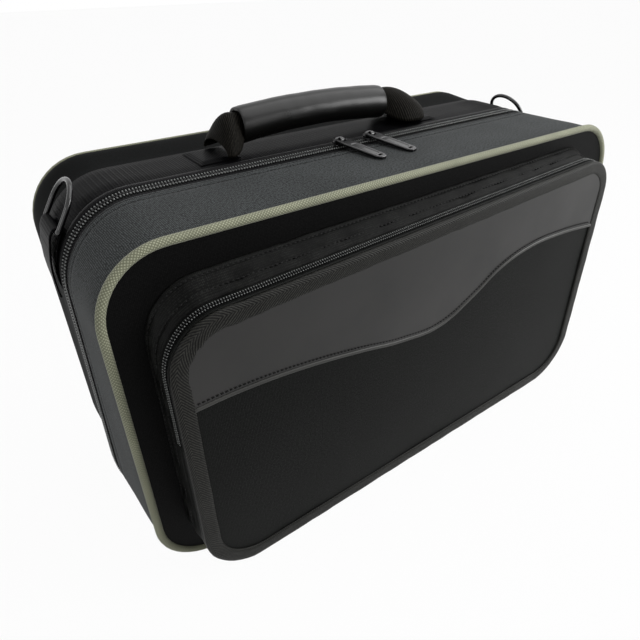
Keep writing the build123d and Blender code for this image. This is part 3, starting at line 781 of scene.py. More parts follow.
# Bonded sewing thread: waxy and nearly black, so a seam reads as a row of small dark dashes.
thread = dark_plastic("bonded polyester thread, black", "#060606", 0.5, 0.15)
# Satin binding: close ribs and a broad dim gleam.
hem_cloth = ribbed_tape("satin binding, black", "#060607", "#131314", 1.2, 0.0, 0.38, 0.06)
print("zip, thread and binding finishes made")


# %% Pieces copied along a run
def copies(name, part, places):
    """One piece made of a small part's mesh, copied to each place."""
    spots = np.array([vertex.co for vertex in part.data.vertices])
    faces = [list(face.vertices) for face in part.data.polygons]
    turns = np.array([np.array(place) for place in places])
    moved = np.einsum("pij,vj->pvi", turns[:, :3, :3], spots) + turns[:, None, :3, 3]
    every = [[index + number * len(spots) for index in face]
             for number in range(len(places)) for face in faces]
    mesh = bpy.data.meshes.new(name)
    mesh.from_pydata(moved.reshape(-1, 3).tolist(), [], every)
    piece = bpy.data.objects.new(name, mesh)
    bpy.context.scene.collection.objects.link(piece)
    bpy.data.objects.remove(part)
    only(piece)
    bpy.ops.object.shade_smooth()
    return piece


def stations(run, start, stop, pitch_mm, y, lift_mm=0.0):
    """Places along a run: local X follows it, Y is the case's depth and Z points outwards."""
    places = []
    for distance in np.arange(start, stop, pitch_mm * MM):
        (x, z), out = run.place(distance)
        x, z = x + out[0] * lift_mm * MM, z + out[1] * lift_mm * MM
        places.append(Matrix(((out[1], 0, out[0], x), (0, 1, 0, y * MM),
                              (-out[0], 0, out[1], z), (0, 0, 0, 1))))
    return places


def mirrored(places):
    """The same places, turned to face the other side of the middle line."""
    flip = Matrix.Diagonal((-1, -1, 1, 1))
    return [place @ flip for place in places]


print("copying helpers ready")


# %% One turn of a zip coil
def coil_bar(reach_mm, width_mm):
    """The straight part of one turn of a zip coil, out from the middle line along Y."""
    bpy.ops.object.select_all(action="DESELECT")
    bpy.ops.mesh.primitive_cylinder_add(vertices=6, radius=0.5 * width_mm * MM,
                                        depth=(reach_mm - 1.0) * MM, rotation=(pi / 2, 0, 0),
                                        location=(0, reach_mm / 2 * MM, -0.2 * width_mm * MM))
    bpy.ops.object.transform_apply(location=True, rotation=True, scale=True)
    return bpy.context.object


def coil_crown(reach_mm, width_mm):
    """The round outer end of one turn, which stands higher than its bar."""
    bpy.ops.object.select_all(action="DESELECT")
    bpy.ops.mesh.primitive_ico_sphere_add(subdivisions=1, radius=0.5 * width_mm * MM)
    crown = bpy.context.object
    edit(crown)
    bpy.ops.transform.resize(value=(0.9, 1.5, 1.1))
    bpy.ops.transform.translate(value=(0, (reach_mm - 0.7 * width_mm) * MM, 0.28 * width_mm * MM))
    done()
    return crown


def coil_rows(names, body_name, node, places, reach_mm, widths_mm):
    """One side of a closed chain: a row of turns, and a row of outer ends painted pale as glints.
    """
    turns = copies(names[0], coil_bar(reach_mm, widths_mm[0]), places)
    settle(turns, body_name, "zip_coil", coil_plastic, node)
    crowns = copies(names[1], coil_crown(reach_mm, widths_mm[1]), places)
    settle(crowns, body_name, "zip_coil", crown_plastic_painted_glint)


print("a turn is a six-sided bar and a round end")

# %% The main zip
ZIP_START = 224 * MM
BOTTOM_HALF, BOTTOM_Z = 222.0, 30.0
COIL_PITCH, COIL_REACH = 2.5, 4.6
TAPE_WALL = [(0.6, 1.4), (0.7, 0.6), (4.8, 0.5), (6.6, 0.35), (8.6, 0.3), (11.4, 0.5), (12.6, 1.1)]
HEM_WALL = [(7.4, 0.9), (7.5, -0.3), (8.4, -1.0), (10.0, -1.3), (11.8, -1.3), (13.2, -0.8),
            (13.9, 0.3)]


def zip_wall(name, profile):
    """A wall without the bottom of the case, which is hinged and not zipped."""
    return remove_where(wall(name, body_corners, profile),
                        lambda v: abs(v.co.x) < BOTTOM_HALF * MM and v.co.z < BOTTOM_Z * MM)


for name, side in (("lid", -1), ("base", 1)):
    tape = zip_wall("zip_tape_" + name + "_cloth", [(side * y, inset) for y, inset in TAPE_WALL])
    thicken(tape, 0.5)
    settle(tape, name, "zip_tape", zip_cloth, "zip_tape_" + name)
    run = run_at(body_corners, side * 2.5, -0.25)
    offset = 0 if side < 0 else COIL_PITCH / 2 * MM
    places = stations(run, ZIP_START + offset, run.total - ZIP_START, COIL_PITCH, side * 0.15)
    if side < 0:
        places = mirrored(places)
    coil_rows(("zip_coil_" + name + "_turns", "zip_coil_" + name + "_crowns"), name,
              "zip_coil_" + name, places, COIL_REACH, (1.6, 1.5))
print("turns in a row of the main zip:", len(places))

hem = zip_wall("zip_hem_base", HEM_WALL)
settle(hem, "base", "webbing", hem_cloth)
print("hem behind the zip:", len(hem.data.polygons), "faces")

# %% [markdown]
# A visible stitch is a short length of thick thread that sinks into the cloth at both ends.  A
# bump in the material could draw it, but real stitches catch the light one by one, so a short
# rod is copied along the seam.

# %% Stitches beside the zip
def stitch(length_mm, width_mm):
    """One visible stitch: a short thread whose ends dip into the cloth."""
    bpy.ops.object.select_all(action="DESELECT")
    bpy.ops.mesh.primitive_cylinder_add(vertices=6, radius=width_mm / 2 * MM, depth=length_mm * MM,
                                        rotation=(0, pi / 2, 0), end_fill_type="TRIFAN")
    piece = bpy.context.object
    bpy.ops.object.transform_apply(location=True, rotation=True, scale=True)
    return piece


def stitches(name, corners, y, inset, start_mm, pitch_mm):
    """A line of stitches round a wall of the lid."""
    run = run_at(corners, y, inset)
    places = stations(run, start_mm * MM, run.total, pitch_mm, y, 0.05)
    row = copies(name, stitch(pitch_mm * 0.66, 1.0), places)
    settle(row, "lid", "webbing", thread)
    print(name, "has", len(places), "stitches")


for number, (y, inset) in enumerate(((-13.3, -0.1), (-19.5, -0.05)), 1):
    stitches(f"lid_stitches_{number}", body_corners, y, inset, 4, 3.6)

# %% [markdown]
# The front pocket is a second, smaller bag on the lid.  Its side wall is pleated nylon with two
# lines of stitches, its zip runs over the top and down both sides, and its front lifts like a
# flap.  A herringbone tape is folded over the front's edge.

# %% Pocket side wall
FOLD_Z = 150.0
GUSSET = [(-87.7, 2.0), (-88.9, 0.6), (-89.9, 0.0), (-90.9, -0.15), (-91.7, 0.3), (-92.5, -0.2),
          (-94.5, -0.3), (-96.5, -0.35), (-98.6, -0.25), (-99.4, 0.25), (-100.2, -0.2),
          (-102, -0.2), (-104, 0.0), (-106, 0.1), (-107.6, 0.25), (-108.0, 0.8)]
GUSSET_LOWER = [(-107.9, 0.2), (-111, 0.1), (-114, 0.2), (-117.7, 0.4), (-117.9, 2.0)]
gusset = wall("pocket_side_cloth", pocket_corners, GUSSET)
dents(gusset, 12, 4.0, soft_middle(-91, -106, 4))
lower = remove_where(wall("pocket_side_cloth_lower", pocket_corners, GUSSET_LOWER),
                     lambda v: v.co.z > (FOLD_Z + 6) * MM)
# The puckered cloth's patches of light and dark are painted light and shade.
for cloth, finish in ((gusset, puckered_nylon_painted_shade), (lower, pocket_nylon)):
    thicken(cloth, 1.2)
    settle(cloth, "lid", "pocket_nylon", finish, "pocket_gusset")
for number, (y, inset) in enumerate(((-91.7, 0.3), (-99.4, 0.25)), 1):
    stitches(f"pocket_stitches_{number}", pocket_corners, y, inset, 0, 3.8)

# %% Pocket zip and the edge of its flap
POCKET_ZIP_Y, POCKET_PITCH = -111.0, 2.0
POCKET_TAPES = {
    "gusset": [(-107.4, 1.2), (-107.8, 0.7), (-109.0, 0.55), (-110.4, 0.6), (-110.6, 1.2)],
    "flap": [(-111.4, 1.2), (-111.6, 0.6), (-113.0, 0.55), (-114.4, 0.7), (-114.7, 1.2)]}
FLAP_EDGE = [(-113.7, 1.1), (-113.9, 0.4), (-115, 0.1), (-116.5, 0.1), (-117.8, 0.6)]


def flap_wall(name, profile):
    """A wall round the pocket, kept only above the fold."""
    return remove_where(wall(name, pocket_corners, profile),
                        lambda v: v.co.z < (FOLD_Z + 0.5) * MM)


for name, body_name, side in (("gusset", "lid", 1), ("flap", "pocket_flap", -1)):
    tape = flap_wall("pocket_tape_" + name, POCKET_TAPES[name])
    settle(tape, body_name, "zip_tape", zip_cloth, "pocket_zip_tape_" + name)
    run = run_at(pocket_corners, POCKET_ZIP_Y, -0.1)
    offset = 0 if side > 0 else POCKET_PITCH / 2 * MM
    places = stations(run, offset, run.total, POCKET_PITCH, POCKET_ZIP_Y + side * 0.1)
    places = [place for place in places if place.translation.z > (FOLD_Z + 2) * MM]
    if side < 0:
        places = mirrored(places)
    coil_rows(("pocket_coil_" + name, "pocket_coil_" + name + "_crowns"), body_name,
              "pocket_zip_coil_" + name, places, 2.6, (1.3, 1.1))
edge = flap_wall("pocket_flap_edge_cloth", FLAP_EDGE)
thicken(edge, 1.0)
settle(edge, "pocket_flap", "pocket_nylon", pocket_nylon, "pocket_flap_edge")
print("turns in a row of the pocket zip:", len(places))

# %% [markdown]
# Two more finishes.  Leatherette is a sheet of soft plastic that is pressed between rollers, so
# it is satin and finely grained.  The pocket's binding is a wide herringbone tape, whose ribs
# slant up to a middle line and down again.

# %% Leatherette and herringbone
def leatherette(name, dark, light, rough, grain_mm, specular):
    """Calendered PVC on a knit backing: satin, finely grained, a little uneven in gloss."""
    material, tree = start_material(name)
    place = add_node(tree, "TexCoord").outputs["Object"]
    grain = add_node(tree, "TexVoronoi", {"Vector": place, "Scale": 1 / (grain_mm * MM)},
                     feature="SMOOTH_F1").outputs["Distance"]
    soft = noise(tree, place, 45, 3.0)
    colour = mixed(tree, spread(tree, soft, 0.3, 0.7), linear(dark), linear(light))
    gloss = spread(tree, soft, 0.3, 0.7, rough + 0.06, rough - 0.04)
    finish_material(tree, Base_Color=colour, Roughness=gloss, Specular_IOR_Level=specular,
                    Normal=relief(tree, grain, 0.25, 0.12))
    return material


# The sheet on the pocket: charcoal, with a broad soft shine.
overlay_leather = leatherette("PVC leatherette, charcoal", "#171716", "#201f1e", 0.38, 0.8, 0.34)
# The same sheet over a bead, painted paler and a little warmer: a painted highlight along
# the bead, so the wave stands out.
rolled_leather_painted_highlight = leatherette("PVC leatherette, rolled edge, painted highlight", "#262624", "#30302d", 0.4, 0.8, 0.3)
# The grip, smoothed by hands: black and the glossiest of the three.
grip_leather = leatherette("PVC leatherette, black grip", "#050505", "#0b0b0a", 0.3, 1.0, 0.27)
# Binding: black ground with brownish ribs 2.6 mm apart, so the slant of the weave shows.
binding_cloth = ribbed_tape("herringbone binding tape", "#020202", "#33332f", 2.6, 1.3, 0.45, 0.12,
                            middle_mm=17.5)
print("leatherette and binding finishes made")

# %% [markdown]
# Some edges follow a free curve.  A Bezier curve through a few measured points is smoother than
# straight steps and needs fewer numbers.  Turned into points, it can shape a cut, carry a bead
# or guide a strip of webbing.

# %% Smooth lines through points
def smooth_line(points, steps=8):
    """Points on a smooth curve through points in millimetres, as an array in metres."""
    curve = bpy.data.curves.new("line", "CURVE")
    curve.dimensions = "3D"
    curve.resolution_u = steps
    spline = curve.splines.new("BEZIER")
    spline.bezier_points.add(len(points) - 1)
    for knot, point in zip(spline.bezier_points, points):
        knot.co = Vector(point) * MM
        knot.handle_left_type = knot.handle_right_type = "AUTO"
    holder = bpy.data.objects.new("line", curve)
    mesh = bpy.data.meshes.new_from_object(holder)
    line = np.array([vertex.co for vertex in mesh.vertices])
    bpy.data.objects.remove(holder)
    return line


def bead(name, line, radius_mm, squash):
    """Bead along a line, flattened by a share and with closed ends."""
    curve = bpy.data.curves.new(name, "CURVE")
    curve.dimensions = "3D"
    spline = curve.splines.new("POLY")
    spline.points.add(len(line) - 1)
    for knot, place in zip(spline.points, line):
        knot.co = (*place, 1)
    curve.bevel_depth = radius_mm * MM
    curve.bevel_resolution = 4
    curve.use_fill_caps = True
    holder = bpy.data.objects.new(name, curve)
    bpy.context.scene.collection.objects.link(holder)
    only(holder)
    bpy.ops.object.convert(target="MESH")
    piece = bpy.context.object
    edit(piece)
    bpy.ops.transform.resize(value=(1, squash, 1), center_override=tuple(line[0]))
    done()
    bpy.ops.object.shade_smooth()
    return piece


print("smooth lines and beads ready")

# %% [markdown]
# The front is one sheet of cloth.  Over its upper half lies a sheet of leatherette.  Its lower
# edge is a wave, cut by a boolean with a block that is extruded from the smooth line, and
# finished with a rolled bead.

# %% Pocket front
def settle_across(piece, slot, material, bodies, start_mm, end_mm, *nodes):
    """Give cloth its material, hide its solids and bake its place; it is on no body."""
    piece.data.materials.clear()
    piece.data.materials.append(material)
    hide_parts(*nodes)
    [value * MM for value in start_mm]
    [value * MM for value in end_mm]
    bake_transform(piece)
    return piece


BEND = ((0, -120, FOLD_Z - 16), (0, -120, FOLD_Z + 6))
front = panel("pocket_front_cloth", pocket_corners, -120.3, 3, -1, 1.8, 0.9, 5)
settle_across(front, "pocket_nylon", pocket_nylon, ("lid", "pocket_flap"), *BEND,
              "pocket_front_lower", "pocket_front_upper")
print("pocket front:", len(front.data.polygons), "faces")

# %% Overlay and its rolled wavy edge
WAVE = [(-262, 0, 184), (-250, 0, 183), (-200, 0, 183), (-150, 0, 179), (-95, 0, 170),
        (-45, 0, 160), (0, 0, 158), (40, 0, 174), (72, 0, 191), (112, 0, 201), (160, 0, 202),
        (235, 0, 195), (250, 0, 194)]
OVERLAY_INSET = 11.5

overlay = panel("pocket_overlay_sheet", pocket_corners, -121.35, OVERLAY_INSET, -1, 0.8, 0.9, 5)
wave = smooth_line(WAVE)
outline = bpy.data.meshes.new("below the wave")
outline.from_pydata([(x, -0.14, z) for x, _, z in wave],
                    [(n, n + 1) for n in range(len(wave) - 1)], [])
below = bpy.data.objects.new("below the wave", outline)
bpy.context.scene.collection.objects.link(below)
edit(below)
bpy.ops.mesh.extrude_region_move(TRANSFORM_OT_translate={"value": (0, 0, -0.3)})
bpy.ops.mesh.select_all(action="SELECT")
bpy.ops.mesh.extrude_region_move(TRANSFORM_OT_translate={"value": (0, 0.04, 0)})
done()
outward(below)
trim(overlay, below, "DIFFERENCE")
only(overlay)
bpy.ops.object.shade_smooth_by_angle(angle=radians(40))
settle(overlay, "pocket_flap", "overlay_leather", overlay_leather, "pocket_overlay")

rolled_line = wave + np.array((0, -121.3 * MM, 1.5 * MM))
rolled = bead("overlay_rolled_edge", rolled_line, 1.7, 0.55)
trim(rolled, prism(*pocket_corners(-121, OVERLAY_INSET), -130, -110))
# The bead's paler, warmer colour is a painted highlight.
settle(rolled, "pocket_flap", "overlay_leather", rolled_leather_painted_highlight)


print("overlay:", len(overlay.data.polygons), "faces, and its bead", len(rolled.data.polygons))

# %% Stitches above the wave
SEAM_PITCH = 3.4
seam = wave[(wave[:, 0] > -232 * MM) & (wave[:, 0] < 216 * MM)]
seam = seam + np.array((0, -121.75 * MM, 5.5 * MM))
lengths = np.concatenate(([0], np.cumsum(np.linalg.norm(np.diff(seam, axis=0), axis=1))))
outwards = Vector((0, -1, 0))
places = []
for distance in np.arange(0, lengths[-1] - SEAM_PITCH * MM, SEAM_PITCH * MM):
    start, stop = (Vector([np.interp(distance + step, lengths, seam[:, k]) for k in range(3)])
                   for step in (0, 0.6 * SEAM_PITCH * MM))
    along = (stop - start).normalized()
    turn = Matrix((along, outwards.cross(along), outwards)).transposed().to_4x4()
    places.append(Matrix.Translation((start + stop) / 2) @ turn)
settle(copies("overlay_stitches", stitch(SEAM_PITCH * 0.62, 0.9), places), "pocket_flap",
       "webbing", thread)
print("stitches above the wave:", len(places))

# %% [markdown]
# The binding is one wide tape folded over the front's edge, so its profile is a hairpin, and
# the same wall of bridged loops makes it.  It is dented all over, and more at the upper left
# corner, where the real tape is crumpled by the tight turn.

# %% Binding round the pocket's front
BINDING = [(-117.6, 11.0), (-117.9, 6.0), (-117.6, 2.0), (-118.0, 0.6), (-119.0, -0.1),
           (-120.3, -0.1), (-121.3, 0.5), (-121.8, 1.6), (-122.0, 4.0), (-121.9, 7.0),
           (-121.95, 9.5), (-121.8, 11.6), (-121.3, 12.4), (-120.6, 12.6)]
binding = wall("pocket_binding_tape", pocket_corners, BINDING)
dents(binding, 14, 0.9)
dents(binding, 8, 2.4, lambda place: float(place.x < -175 and place.z > 205))
settle_across(binding, "binding", binding_cloth, ("lid", "pocket_flap"), *BEND,
              "pocket_binding_lower", "pocket_binding_upper")
print("binding:", len(binding.data.polygons), "faces")

# %% [markdown]
# Webbing, patches and loops are ribbons: a grid whose rows are laid along the outline of the
# base, at a height that may change on the way.  That keeps the ribs straight across the strip,
# and it lets a ribbon lift off the case where it turns round a ring.

# %% Ribbons on the base
base_runs = [run_at(body_corners, y) for y in (0.0, BASE_DEPTH - 0.01)]


def on_base(distance, y, lift):
    """Point on the base's side, all in millimetres, for a distance along the run at y = 0."""
    share = distance * MM / base_runs[0].total
    (near, out), (far, _) = (run.place(share * run.total) for run in base_runs)
    x, z = near + (far - near) * y / BASE_DEPTH + out * lift * MM
    return Vector((x, y * MM, z))


def ribbon(name, place, length_mm, width_mm, step_mm, rows):
    """Grid laid out by a function that turns a share along and a share across into a point."""
    bpy.ops.object.select_all(action="DESELECT")
    bpy.ops.mesh.primitive_grid_add(x_subdivisions=max(2, round(length_mm / step_mm)),
                                    y_subdivisions=rows, size=1)
    piece = bpy.context.object
    shares = [(vertex.co.x + 0.5, vertex.co.y + 0.5) for vertex in piece.data.vertices]
    for vertex, (along, across) in zip(piece.data.vertices, shares):
        vertex.co = place(along, across)
    lay_weave(piece, [along * length_mm * MM for along, _ in shares],
              [across * width_mm * MM for _, across in shares])
    piece.name = piece.data.name = name
    only(piece)
    bpy.ops.object.shade_smooth()
    return piece


def top_distance(x, z):
    """Distance along the base's run of a point, in millimetres."""
    return base_runs[0].nearest([(x * MM, z * MM)])[0] / MM


print("round the case at the rear seam:", round(base_runs[1].total / MM), "mm")

# %% Strip over the top
# Polypropylene webbing: black, dull and plainly ribbed across its length.
webbing_cloth = ribbed_tape("polypropylene webbing, black", "#030304", "#101011", 2.1, 0.0, 0.4,
                            0.02)
STRIP_LOW, STRIP_HIGH, STRIP_END_Z = 14.4, 63.5, 226.0
RIB_PITCH = 4.2
strip_start, strip_end = top_distance(-271, STRIP_END_Z), top_distance(271, STRIP_END_Z)


def strip_place(along, across):
    """Ribs across the strip, heavy at the corners and fainter along the top between them."""
    distance = strip_start + along * (strip_end - strip_start)
    corner = min(1.0, max(0.0, (abs(on_base(distance, 30, 0).x / MM) - 180) / 40))
    rib = (0.25 + 0.75 * corner) * abs(sin(pi * distance / RIB_PITCH))
    rim = min(1.0, 6 * min(across, 1 - across))
    y = STRIP_LOW + across * (STRIP_HIGH - STRIP_LOW)
    return on_base(distance, y, 0.5 + rim * (0.6 + 0.7 * rib))


strip = ribbon("top_webbing_strip", strip_place, strip_end - strip_start, STRIP_HIGH - STRIP_LOW,
               RIB_PITCH / 4, 10)
settle(strip, "base", "webbing", webbing_cloth, "top_webbing")
print("strip:", len(strip.data.polygons), "faces")

# %% Patches under the handle's ends
HANDLE_Y = 39.0
PATCH = 39.5
for name, reach in (("left", (-146, -108)), ("right", (84, 122))):
    ends = sorted(top_distance(x, BODY["high"][0]) for x in reach)

    def patch_place(along, across):
        """Patch of webbing, sewn down all round."""
        rim = min(1.0, 8 * min(along, 1 - along, across, 1 - across))
        return on_base(ends[0] + along * (ends[1] - ends[0]), HANDLE_Y + (across - 0.5) * PATCH,
                       1.7 + 1.4 * rim)

    patch = ribbon("handle_patch_" + name, patch_place, 40, 40, 1.6, 16)
    settle(patch, "base", "webbing", webbing_cloth, "handle_anchor_" + name)
print("each patch:", len(patch.data.polygons), "faces")

# %% [markdown]
# A shoulder ring is a D of painted steel wire.  Its outline is a rectangle with two small and two
# large corner radii, which is a D, so the same loop tool makes it.  Its webbing loop is
# a ribbon that runs up the case, round the bar and down again underneath itself.

# %% Shoulder rings
RING_X, RING_Y, RING_Z, RING_LEAN, RING_WIRE = 264.328, 33.0, 272.446, radians(33), 2.0
D_CORNERS, D_ROUNDS = ((-21, 0), (21, 0), (21, 36), (-21, 36)), (4, 4, 20.9, 20.9)
# Enamel baked on metal: black and smooth, with small sharp highlights.
black_enamel = dark_plastic("enamelled steel, black", "#060607", 0.2, 0.4, 0.3)


def shoulder_ring(name, side):
    """D of round wire whose bar lies against the case and whose bow leans out from it."""
    loop = wire_loop(D_CORNERS, D_ROUNDS, 0)
    lean = Matrix(((0, -side * cos(RING_LEAN), -side * sin(RING_LEAN), side * RING_X * MM),
                   (1, 0, 0, RING_Y * MM),
                   (0, -sin(RING_LEAN), cos(RING_LEAN), RING_Z * MM), (0, 0, 0, 1)))
    loop.data.transform(lean)
    ring = round_cord("shoulder_ring_wire_" + name, loop, RING_WIRE)
    outward(ring)
    bpy.ops.object.shade_smooth()
    settle(ring, "ring_" + name, "black_metal", black_enamel, "shoulder_ring_" + name)


print("a ring is", 2 * D_CORNERS[1][0], "mm wide between the middles of its wire")

# %% Webbing loops round the rings
LOOP_LIFT, LOOP_TURN = 5.5, 3.0
LOOP_TAIL = (272, 217)


def loop_track(side):
    """Distances and lifts of a loop's webbing: up the case, round the ring's bar and back."""
    bar_place = Vector((side * RING_X, RING_Y, RING_Z)) * MM
    near = top_distance(side * RING_X, RING_Z)
    bar = min(np.arange(near - 8, near + 8, 0.25),
              key=lambda d: (on_base(d, RING_Y, LOOP_LIFT) - bar_place).length)
    tail = top_distance(side * LOOP_TAIL[0], LOOP_TAIL[1])
    up = 1 if bar > tail else -1
    track = [(tail, 3.4), (tail + up * 8, 4.2), (bar - up * 12, 6.8),
             (bar - up * 4, LOOP_LIFT + LOOP_TURN)]
    track += [(bar + up * LOOP_TURN * sin(angle), LOOP_LIFT + LOOP_TURN * cos(angle))
              for angle in (0.0, 0.6, 1.2, 1.9, 2.6)]
    return track + [(bar - up * 5, 2.4), (bar - up * 20, 2.0)]


for name, side in (("left", -1), ("right", 1)):
    shoulder_ring(name, side)
    track = loop_track(side)
    spots = smooth_line([(distance, 0, lift) for distance, lift in track], 6) / MM
    lengths = np.concatenate(([0], np.cumsum(np.hypot(*np.diff(spots[:, [0, 2]], axis=0).T))))

    def loop_place(along, across):
        """Webbing loop that narrows to its sewn lower end."""
        here = along * lengths[-1]
        distance, lift = (np.interp(here, lengths, spots[:, k]) for k in (0, 2))
        width = np.interp(abs(distance - track[0][0]), (0, 19), (16.5, 33.5))
        return on_base(distance, RING_Y + (across - 0.5) * width, lift)

    loop_cloth = ribbon("ring_loop_webbing_" + name, loop_place, lengths[-1], 34, 1.0, 14)
    outward(loop_cloth)
    apply_modifier(loop_cloth, "SOLIDIFY", thickness=1.3 * MM, offset=0)
    settle(loop_cloth, "base", "webbing", webbing_cloth, "ring_loop_" + name)
    print("ring and loop", name, "made;", round(lengths[-1]), "mm of webbing")

# %% [markdown]
# The grip is a foam tube in leatherette with cut ends.  A cylinder without caps is divided along
# its length, bent and swelled row by row, dented softly and given a wall, whose cut ends are
# bevelled.  It tilts with its own joint.

# %% Grip
HANDLE_X, GRIP_HALF, GRIP_END_Z, GRIP_MIDDLE_Z = -22.0, 79.0, 318.6, 323.0
GRIP_SIDES, GRIP_CUTS = 40, 55


def grip_section(share):
    """Centre height, width and height of the grip at a share from -1 to 1."""
    return (GRIP_MIDDLE_Z + (GRIP_END_Z - GRIP_MIDDLE_Z) * share ** 2,
            30, 29 + 1.5 * share ** 2)


bpy.ops.object.select_all(action="DESELECT")
bpy.ops.mesh.primitive_cylinder_add(vertices=GRIP_SIDES, radius=1, depth=2,
                                    end_fill_type="NOTHING", rotation=(0, pi / 2, 0))
grip = bpy.context.object
grip.name = grip.data.name = "handle_grip_cover"
bpy.ops.object.transform_apply(location=True, rotation=True, scale=True)
edit(grip, lambda v: False)
mesh = bmesh.from_edit_mesh(grip.data)
for edge in mesh.edges:
    edge.select = abs(edge.verts[0].co.x - edge.verts[1].co.x) > 1
bmesh.update_edit_mesh(grip.data)
bpy.ops.mesh.subdivide(number_cuts=GRIP_CUTS)
done()
for vertex in grip.data.vertices:
    share, turn_y, turn_z = vertex.co
    middle_z, wide, high = grip_section(share)
    swell = 1.0 - 0.03 * max(0.0, abs(share) - 0.93) / 0.07
    vertex.co = Vector((HANDLE_X + share * GRIP_HALF, HANDLE_Y + turn_y * wide / 2 * swell,
                        middle_z + turn_z * high / 2 * swell)) * MM
dents(grip, 26, 0.9)
apply_modifier(grip, "SOLIDIFY", thickness=3.2 * MM, offset=-1)
apply_modifier(grip, "BEVEL", width=0.7 * MM, segments=3, limit_method="ANGLE",
               angle_limit=radians(50))
only(grip)
bpy.ops.object.shade_smooth()
settle(grip, "handle", "grip_leather", grip_leather, "handle_grip")
print("grip:", len(grip.data.polygons), "faces")

# %% [markdown]
# The webbing comes out of the tube's ends, and only those ends are modelled.  Each strap is drawn
# by its ridge and by the line of its front and rear edges.  In the tube it is rolled up, with its
# edges below the ridge, and outside it opens like a bell, down to its patch.

# %% Webbing of the handle
RIDGES = {"left": [(-86, 327.5), (-95, 328.3), (-104, 329.3), (-110, 329.3), (-115, 326),
                   (-119, 320), (-121.5, 314.5), (-122.5, 310.5)],
          "right": [(43, 327.5), (52, 328.6), (60, 330), (67, 330.2), (76, 328.8), (85, 325.5),
                    (94, 320.5), (102, 315.5), (108, 310.5), (111.5, 305.5), (113, 301.5)]}
EDGES = {"left": [(-86, 8.3, 313), (-95, 8.8, 312), (-101, 11, 308.5), (-106, 16.5, 304.5),
                  (-111, 21.5, 302), (-115, 24, 300.6), (-119, 24.5, 300.2), (-122.5, 22.5, 300.2)],
         "right": [(43, 8.3, 313), (52, 8.8, 312), (58, 12, 308), (64, 18, 304), (72, 23, 301.2),
                   (82, 25, 300.3), (92, 24, 300.2), (101, 20, 300.2), (107.5, 13.5, 300.2),
                   (111.5, 7, 300.2), (113, 2.5, 300.4)]}
# Webbing fluffed by use: brownish ribs on black, which slant a little.
handle_cloth = ribbed_tape("woven webbing of the handle, black", "#030303", "#2b2925", 2.2, 0.7,
                           0.5, 0.02)
for name in RIDGES:
    ridge = smooth_line([(x, 0, z) for x, z in RIDGES[name]], 6) / MM
    edges = smooth_line(EDGES[name], 6) / MM
    steps = np.linspace(0, 1, len(ridge))
    strap_length = np.hypot(*np.diff(ridge[:, [0, 2]], axis=0).T).sum()

    def strap_place(along, across):
        """Webbing between its ridge and an edge, bowed outwards like a quarter of an ellipse."""
        top, low = (np.array([np.interp(along, steps, line[:, k]) for k in range(3)])
                    for line in (ridge, edges))
        turn = abs(across - 0.5) * pi
        x, z = top[[0, 2]] + (low - top)[[0, 2]] * (1 - cos(turn))
        y = low[1] * sin(turn) * (1 if across > 0.5 else -1)
        rib = 0.15 * abs(sin(pi * along * strap_length / 2.6)) if 0.06 < across < 0.94 else 0.5
        return Vector((x, HANDLE_Y + y, z + rib)) * MM

    strap = ribbon("handle_webbing_" + name, strap_place, strap_length, 48, 0.65, 32)
    outward(strap)
    apply_modifier(strap, "SOLIDIFY", thickness=1.7 * MM, offset=0)
    settle_across(strap, "webbing", handle_cloth, ("base", "handle"), (0, HANDLE_Y, 303),
                  (0, HANDLE_Y, 313), "handle_strap_" + name)
    print("handle webbing", name, round(strap_length), "mm along its ridge")

# %% [markdown]
# Underneath, a strip of cloth is the hinge.  It is one piece.

# %% Hinge cloth
HINGE_LENGTH, HINGE_WIDTH = 423, 49


def hinge_place(along, across):
    """Flat strip under the parting line, with its edges turned up against the covers."""
    y = (across - 0.5) * HINGE_WIDTH
    return Vector(((along - 0.5) * HINGE_LENGTH, y, 0.55 + 0.012 * abs(y))) * MM


hinge = ribbon("hinge_cloth", hinge_place, HINGE_LENGTH, HINGE_WIDTH, 8, 24)
thicken(hinge, 0.5)
settle_across(hinge, "base_nylon", base_nylon, ("base", "lid"), (0, 3, 0), (0, -3, 0),
              "hinge_leaf_base", "hinge_leaf_lid")
print("hinge cloth:", HINGE_LENGTH, "by", HINGE_WIDTH, "mm")

# %% [markdown]
# Inside, everything is foam under plush.  The solids already have the right recesses, so a
# copy of each is merged, remeshed into small even squares and smoothed, which rounds every
# edge as foam under cloth rounds it.

# %% Plush
def plush(name, dark, light, specular=0.1):
    """Short-pile velour: dark from above and paler at a grazing angle, with brushed patches."""
    material, tree = start_material(name)
    place = add_node(tree, "TexCoord").outputs["Object"]
    brushed = spread(tree, noise(tree, place, 55, 3.0, Distortion=1.2), 0.35, 0.65)
    finish_material(tree, Base_Color=mixed(tree, brushed, linear(dark), linear(light)),
                    Roughness=0.9, Specular_IOR_Level=specular, Sheen_Weight=0.45,
                    Sheen_Roughness=0.35,
                    Normal=relief(tree, noise(tree, place, 1.4, 3.0), 0.6, 0.5))
    return material


# Velour: nearly black, with paler patches where the pile lies the other way.
lining = plush("short-pile velour, black", "#141416", "#202024")
# Bare foam: a flat dark grey, a little glossier than the pile.
moulded_foam = plush("closed-cell foam, dark grey", "#1d1e20", "#292a2d", 0.2)
print("linings made")


# %% Smoothed copies of the solids
def soft_copy(node, name, voxel_mm, rounds):
    """Smoothed copy of a solid, in small even squares."""
    piece = bpy.data.objects.new(name, frame["nodes"][node].data.copy())
    bpy.context.scene.collection.objects.link(piece)
    piece.data.name = name
    edit(piece)
    bpy.ops.mesh.remove_doubles(threshold=1e-6)
    done()
    apply_modifier(piece, "REMESH", mode="VOXEL", voxel_size=voxel_mm * MM)
    apply_modifier(piece, "SMOOTH", factor=0.5, iterations=rounds)
    bpy.ops.object.shade_smooth()
    return piece


print("solids to soften: trays, cradle, block, compartment lid and pad")

